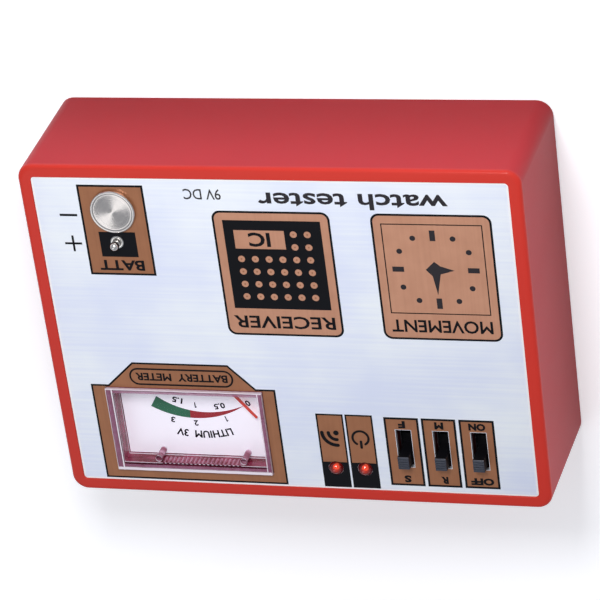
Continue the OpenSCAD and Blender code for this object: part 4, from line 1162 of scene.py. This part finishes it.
tidyCopy("meter_cover", *windowFinishes, bevel=0.16, choose=windowPart)
tidyCopy("meter_base", "mouldedBlack", bevel=0.1)
tidyCopy("dial_plate", "dialWhite", bevel=0.04)

dial = {"outer": 19.25, "inner": 16.3, "start": 124.5, "split": 86.2, "end": 59.5, "shift": -0.2,
        "ink": 0.02, "sunk": 0.01,
        "letterWeight": 0.03, "numberWeight": 0.035,
        "upper": ("LITHIUM  3V", (16.35, 26.35, 28.95, 28.2)), "bend": (23.2, 4),
        "lower": ("SILVER  1.5V", (19.6, 15.7, 28.9, 17.25)),
        "one": [(-0.05, -0.5), (0.12, -0.5), (0.12, 0.5), (-0.03, 0.5), (-0.24, 0.32), (-0.18, 0.22),
                (-0.05, 0.3)],
        # each number with its place, width, height and lean
        "numbers": (("1", 17.4, 23.2, 0.6, 1.4, 17), ("2", 24.3, 24.5, 0.95, 1.4, 0),
                    ("3", 29.4, 23.8, 0.95, 1.4, -12), ("0.5", 18.5, 20.05, 2.5, 1.4, 12),
                    ("1", 23.9, 20.0, 0.6, 1.4, 0), ("1.5", 27.75, 18.9, 2.3, 1.4, -14),
                    ("0", 12.1, 19.1, 1.0, 1.5, 35))}
red, green, dialInk = bmesh.new(), bmesh.new(), bmesh.new()
dialLow, dialInkTop = dialTop - dial["sunk"], dialTop + dial["ink"]


def bandStrip(start, end, steps=24):  # part of the scale's band, which widens from its thin start
    cx, cy = pivotAt.x + dial["shift"], pivotAt.y
    angles = [start + (end - start) * i / steps for i in range(steps + 1)]
    points = [around(cx, cy, dial["outer"], a) for a in angles]
    for a in reversed(angles):
        share = (dial["start"] - a) / (dial["start"] - dial["end"])
        points.append(around(cx, cy, dial["outer"] - 0.02 - (dial["outer"] - dial["inner"]) * share ** 0.85, a))
    return points


def printNumber(words, x, y, wide, tall, lean):
    letters = bmesh.new()
    if words == "1":
        addSolid(letters, [[(tall * px, tall * py) for px, py in dial["one"]]], dialLow, dialInkTop)
    else:
        area = (-wide / 2, -tall / 2, wide / 2, tall / 2)
        addLetters(letters, words, area, dialLow, dialInkTop, dial["numberWeight"])
    addMesh(dialInk, letters, Matrix.Translation((x, y, 0)) @ Matrix.Rotation(math.radians(lean), 4, "Z"))
    letters.free()


addSolid(red, [bandStrip(dial["start"], dial["split"])], dialLow, dialInkTop)
addSolid(green, [bandStrip(dial["split"], dial["end"])], dialLow, dialInkTop)
addLetters(dialInk, *dial["upper"], dialLow, dialInkTop, dial["letterWeight"], Vector(dial["bend"]))
for number in dial["numbers"]:
    printNumber(*number)
addLetters(dialInk, *dial["lower"], dialLow, dialInkTop, dial["letterWeight"])
makePiece("dialRedBand", red, ["bandRed"], "root", "dial_white")
makePiece("dialGreenBand", green, ["bandGreen"], "root", "dial_white")
makePiece("dialInk", dialInk, ["printBlack"], "root", "dial_white")
tidyCopy("needle", "needleRed")
tidyCopy("coil_former", "aluminium")
tidyCopy("pivot_shafts", "screwSteel")
tidyCopy("moving_coil", "copper")
for node in ("movement_screws", "jewel_screws", "core_supports", "top_bridge", "meter_terminals"):
    tidyCopy(node, "brass")
for node in ("meter_yoke", "core_magnet"):
    tidyCopy(node, "softIron")
tidyCopy("hairsprings", "bronze")
print("meter made")


# contacts

contactDisc = {"stem": 1.45, "stemEnd": 1.35, "marks": 20, "markDepth": 0.016, "dish": 0.14, "dishFrom": 0.7}
contactPin = {"radius": 0.9, "collarTop": 26.8, "neck": (30.6, 30.75, 30.9), "neckIn": 0.08}


def stemFoot(z):  # the lower end of a stem, with its edge broken
    return [(0, z), (contactDisc["stemEnd"], z), (contactDisc["stem"], z + 0.1)]


def makeContactDisc():
    lo, hi = low("negative_disc"), high("negative_disc")
    r = (hi.x - lo.x) / 2
    base = plateTop + 0.2
    face, dish = hi.z - contactDisc["dish"], r - contactDisc["dishFrom"]
    profile = stemFoot(lo.z) + [
        (contactDisc["stem"], base), (r - 0.12, base), (r, base + 0.1), (r, hi.z - 0.16),
        (r - 0.07, hi.z - 0.04), (r - 0.2, hi.z), (r - 0.42, hi.z - 0.02), (dish, face)]
    for i in range(1, contactDisc["marks"]):  # shallow tool marks from the rim to the centre
        depth = contactDisc["markDepth"] if i % 2 else -contactDisc["markDepth"]
        profile.append((dish * (1 - i / contactDisc["marks"]), face + depth))
    profile.append((0, face + 0.012))
    bm = bmesh.new()
    addTurned(bm, profile, discAt.x, discAt.y, 96)
    makePiece("contactDisc", bm, ["turnedFace"], "root", "contact_metal", ["negative_disc"], corner=5)


def makeContactPin():
    lo, hi = low("positive_pin"), high("positive_pin")
    r, collar = contactPin["radius"], contactPin["collarTop"]
    start, waist, end = contactPin["neck"]
    body = [(contactDisc["stem"], collar), (r, collar), (r, start), (r - contactPin["neckIn"], waist), (r, end)]
    bm = bmesh.new()
    addTurned(bm, stemFoot(lo.z) + body + domeOf(r, hi.z, 10), pinAt.x, pinAt.y, 40)
    makePiece("contactPin", bm, ["chrome"], "root", "contact_metal", ["positive_pin"])


def makePinEyelet():
    lo, hi = low("pin_eyelet"), high("pin_eyelet")
    profile = [(0.92, lo.z), (1.2, lo.z), (1.2, plateTop), (1.4, plateTop), (1.45, plateTop + 0.06),
               (1.38, hi.z - 0.08), (1.2, hi.z), (1.0, hi.z - 0.03), (0.92, hi.z - 0.12)]
    bm = bmesh.new()
    addTurned(bm, profile, pinAt.x, pinAt.y, 40)
    makePiece("pinEyelet", bm, ["chrome"], "root", "contact_metal", ["pin_eyelet"])


makeContactDisc()
makeContactPin()
makePinEyelet()
tidyCopy("disc_bush", "nylon", bevel=0.03)
tidyCopy("contact_nuts", "screwSteel", bevel=0.05)
tidyCopy("contact_lugs", "brass", bevel=0.03)
print("contacts made")


# board, coils and battery

chips = {"y": 12.4, "bodyHalf": 3.25}
resistors = {"count": 7, "pitch": 4.9, "first": 2.2, "bandHalf": 0.15, "leadRadius": 0.4,
             "bands": ((-1.15, 1), (-0.6, 2), (-0.05, 1), (0.85, 3))}  # place along the body, and finish


def chipPart(spot, normal):  # tinned legs stand outside the moulded body
    return 1 if abs(spot.y - chips["y"]) > chips["bodyHalf"] else 0


def capacitorPart(spot, normal):  # bare aluminium end, pale stripe along the sleeve
    if abs(normal.x) > 0.9:
        return 1
    return 2 if normal.z > 0.75 else 0


def makeResistors():  # beige bodies with four colour bands, made by cutting the designed shape
    bm = cadCopy("resistors")
    start, at, half = low("resistors").x, middle("resistors"), resistors["bandHalf"]
    bands = {}
    for i in range(resistors["count"]):
        for step, finish in resistors["bands"]:
            x = start + resistors["first"] + i * resistors["pitch"] + step
            bands[x] = 2 if (i + finish) % 3 == 0 and finish == 1 else finish
            for cut in (x - half, x + half):
                bmesh.ops.bisect_plane(bm, geom=bm.verts[:] + bm.edges[:] + bm.faces[:], plane_co=(cut, 0, 0),
                                       plane_no=(1, 0, 0))
    for face in bm.faces:
        spot = face.calc_center_median()
        face.material_index = next((finish for x, finish in bands.items() if abs(spot.x - x) < half), 0)
        if math.hypot(spot.y - at.y, spot.z - at.z) < resistors["leadRadius"]:
            face.material_index = 4
    makePiece("resistors", bm, ["ceramicTan", "bandBrown", "bandOrange", "bandGold", "tinned"], "root",
              "resistor_beige", ["resistors"], keepNormals=True)


# windings: a wire laid in close turns, grown along a spiral
coilTree, coilIn = newGrower("closeTurns", {"Turns": "Float", "Radius": "Float", "Length": "Float",
                                            "Wire Radius": "Float", "Steps": "Int"})
spiral = put(coilTree, "GeometryNodeCurveSpiral", None, {
    "Resolution": coilIn["Steps"], "Rotations": coilIn["Turns"], "Start Radius": coilIn["Radius"],
    "End Radius": coilIn["Radius"], "Height": coilIn["Length"]})
ring = put(coilTree, "GeometryNodeCurvePrimitiveCircle", None, {
    "Resolution": 6, "Radius": coilIn["Wire Radius"]})
wound = put(coilTree, "GeometryNodeCurveToMesh", None, {
    "Curve": spiral, "Profile Curve": ring, "Fill Caps": True})
closeGrower(coilTree, wound, "copper")
windings = {"drive": dict(node="drive_coil_winding", wire=0.3, inner=3.4, upright=True),
            "pickup": dict(node="pickup_winding", wire=0.22, inner=2.15, upright=False)}
stepsPerTurn = 56


def makeWinding(name, node, wire, inner, upright):  # a skin of wire round a plain core
    lo, hi = low(node), high(node)
    span = hi.z - lo.z if upright else hi.x - lo.x
    radius = (hi.y - lo.y) / 2
    coreRadius = radius - wire * 0.6
    turns = int((span - wire) / wire)
    bm = bmesh.new()
    bm.from_mesh(grow(coilTree, {
        "Turns": float(turns), "Radius": (radius - wire / 2) * mm, "Length": turns * wire * mm,
        "Wire Radius": wire / 2 * mm, "Steps": stepsPerTurn}))
    toMillimetres(bm)
    bmesh.ops.translate(bm, vec=(0, 0, -turns * wire / 2), verts=bm.verts)
    core = [(inner, -span / 2), (coreRadius, -span / 2), (coreRadius, span / 2), (inner, span / 2)]
    addTurned(bm, core, 0, 0, 48)
    turn = Matrix.Identity(4) if upright else Matrix.Rotation(math.radians(90), 4, "Y")
    bmesh.ops.transform(bm, matrix=Matrix.Translation((lo + hi) / 2) @ turn, verts=bm.verts)
    makePiece(name + "Winding", bm, ["copper"], "root", "copper_wire", [node])


for name, look in windings.items():
    makeWinding(name, **look)
makeResistors()
tidyCopy("main_board", "board")
tidyCopy("board_chips", "chipBlack", "tinned", bevel=0.04, choose=chipPart)
tidyCopy("electrolytic_capacitors", "sleeveBlue", "aluminium", "sleeveStripe", bevel=0.15, choose=capacitorPart)
tidyCopy("ceramic_capacitors", "ceramicTan", bevel=0.3)
tidyCopy("transistors", "chipBlack", bevel=0.08)
tidyCopy("trimmer_body", "trimmerBlue", bevel=0.08)
tidyCopy("trimmer_rotor", "nylon", bevel=0.05)
tidyCopy("drive_coil_bobbin", "nylon", bevel=0.05)
tidyCopy("pickup_bobbin", "nylon", bevel=0.05)
tidyCopy("ferrite_rod", "ferrite", bevel=0.1)
terminalEnd = low("battery").x + batteryLook["terminals"]
tidyCopy("battery", "jacket", "tinned", bevel=0.1, choose=lambda c, n: 1 if c.x < terminalEnd else 0)
tidyCopy("battery_snap", "mouldedBlack", bevel=0.15)
tidyCopy("small_screws", "screwSteel", bevel=0.05)
tidyCopy("cover_screws", "screwSteel", bevel=0.06)
for node in ("battery_wires", "meter_wires", "contact_wires"):
    tidyCopy(node, "redWire", "blackWire", perSolid=True)
tidyCopy("coil_wires", "yellowWire", "blueWire", perSolid=True)
print("inside made")
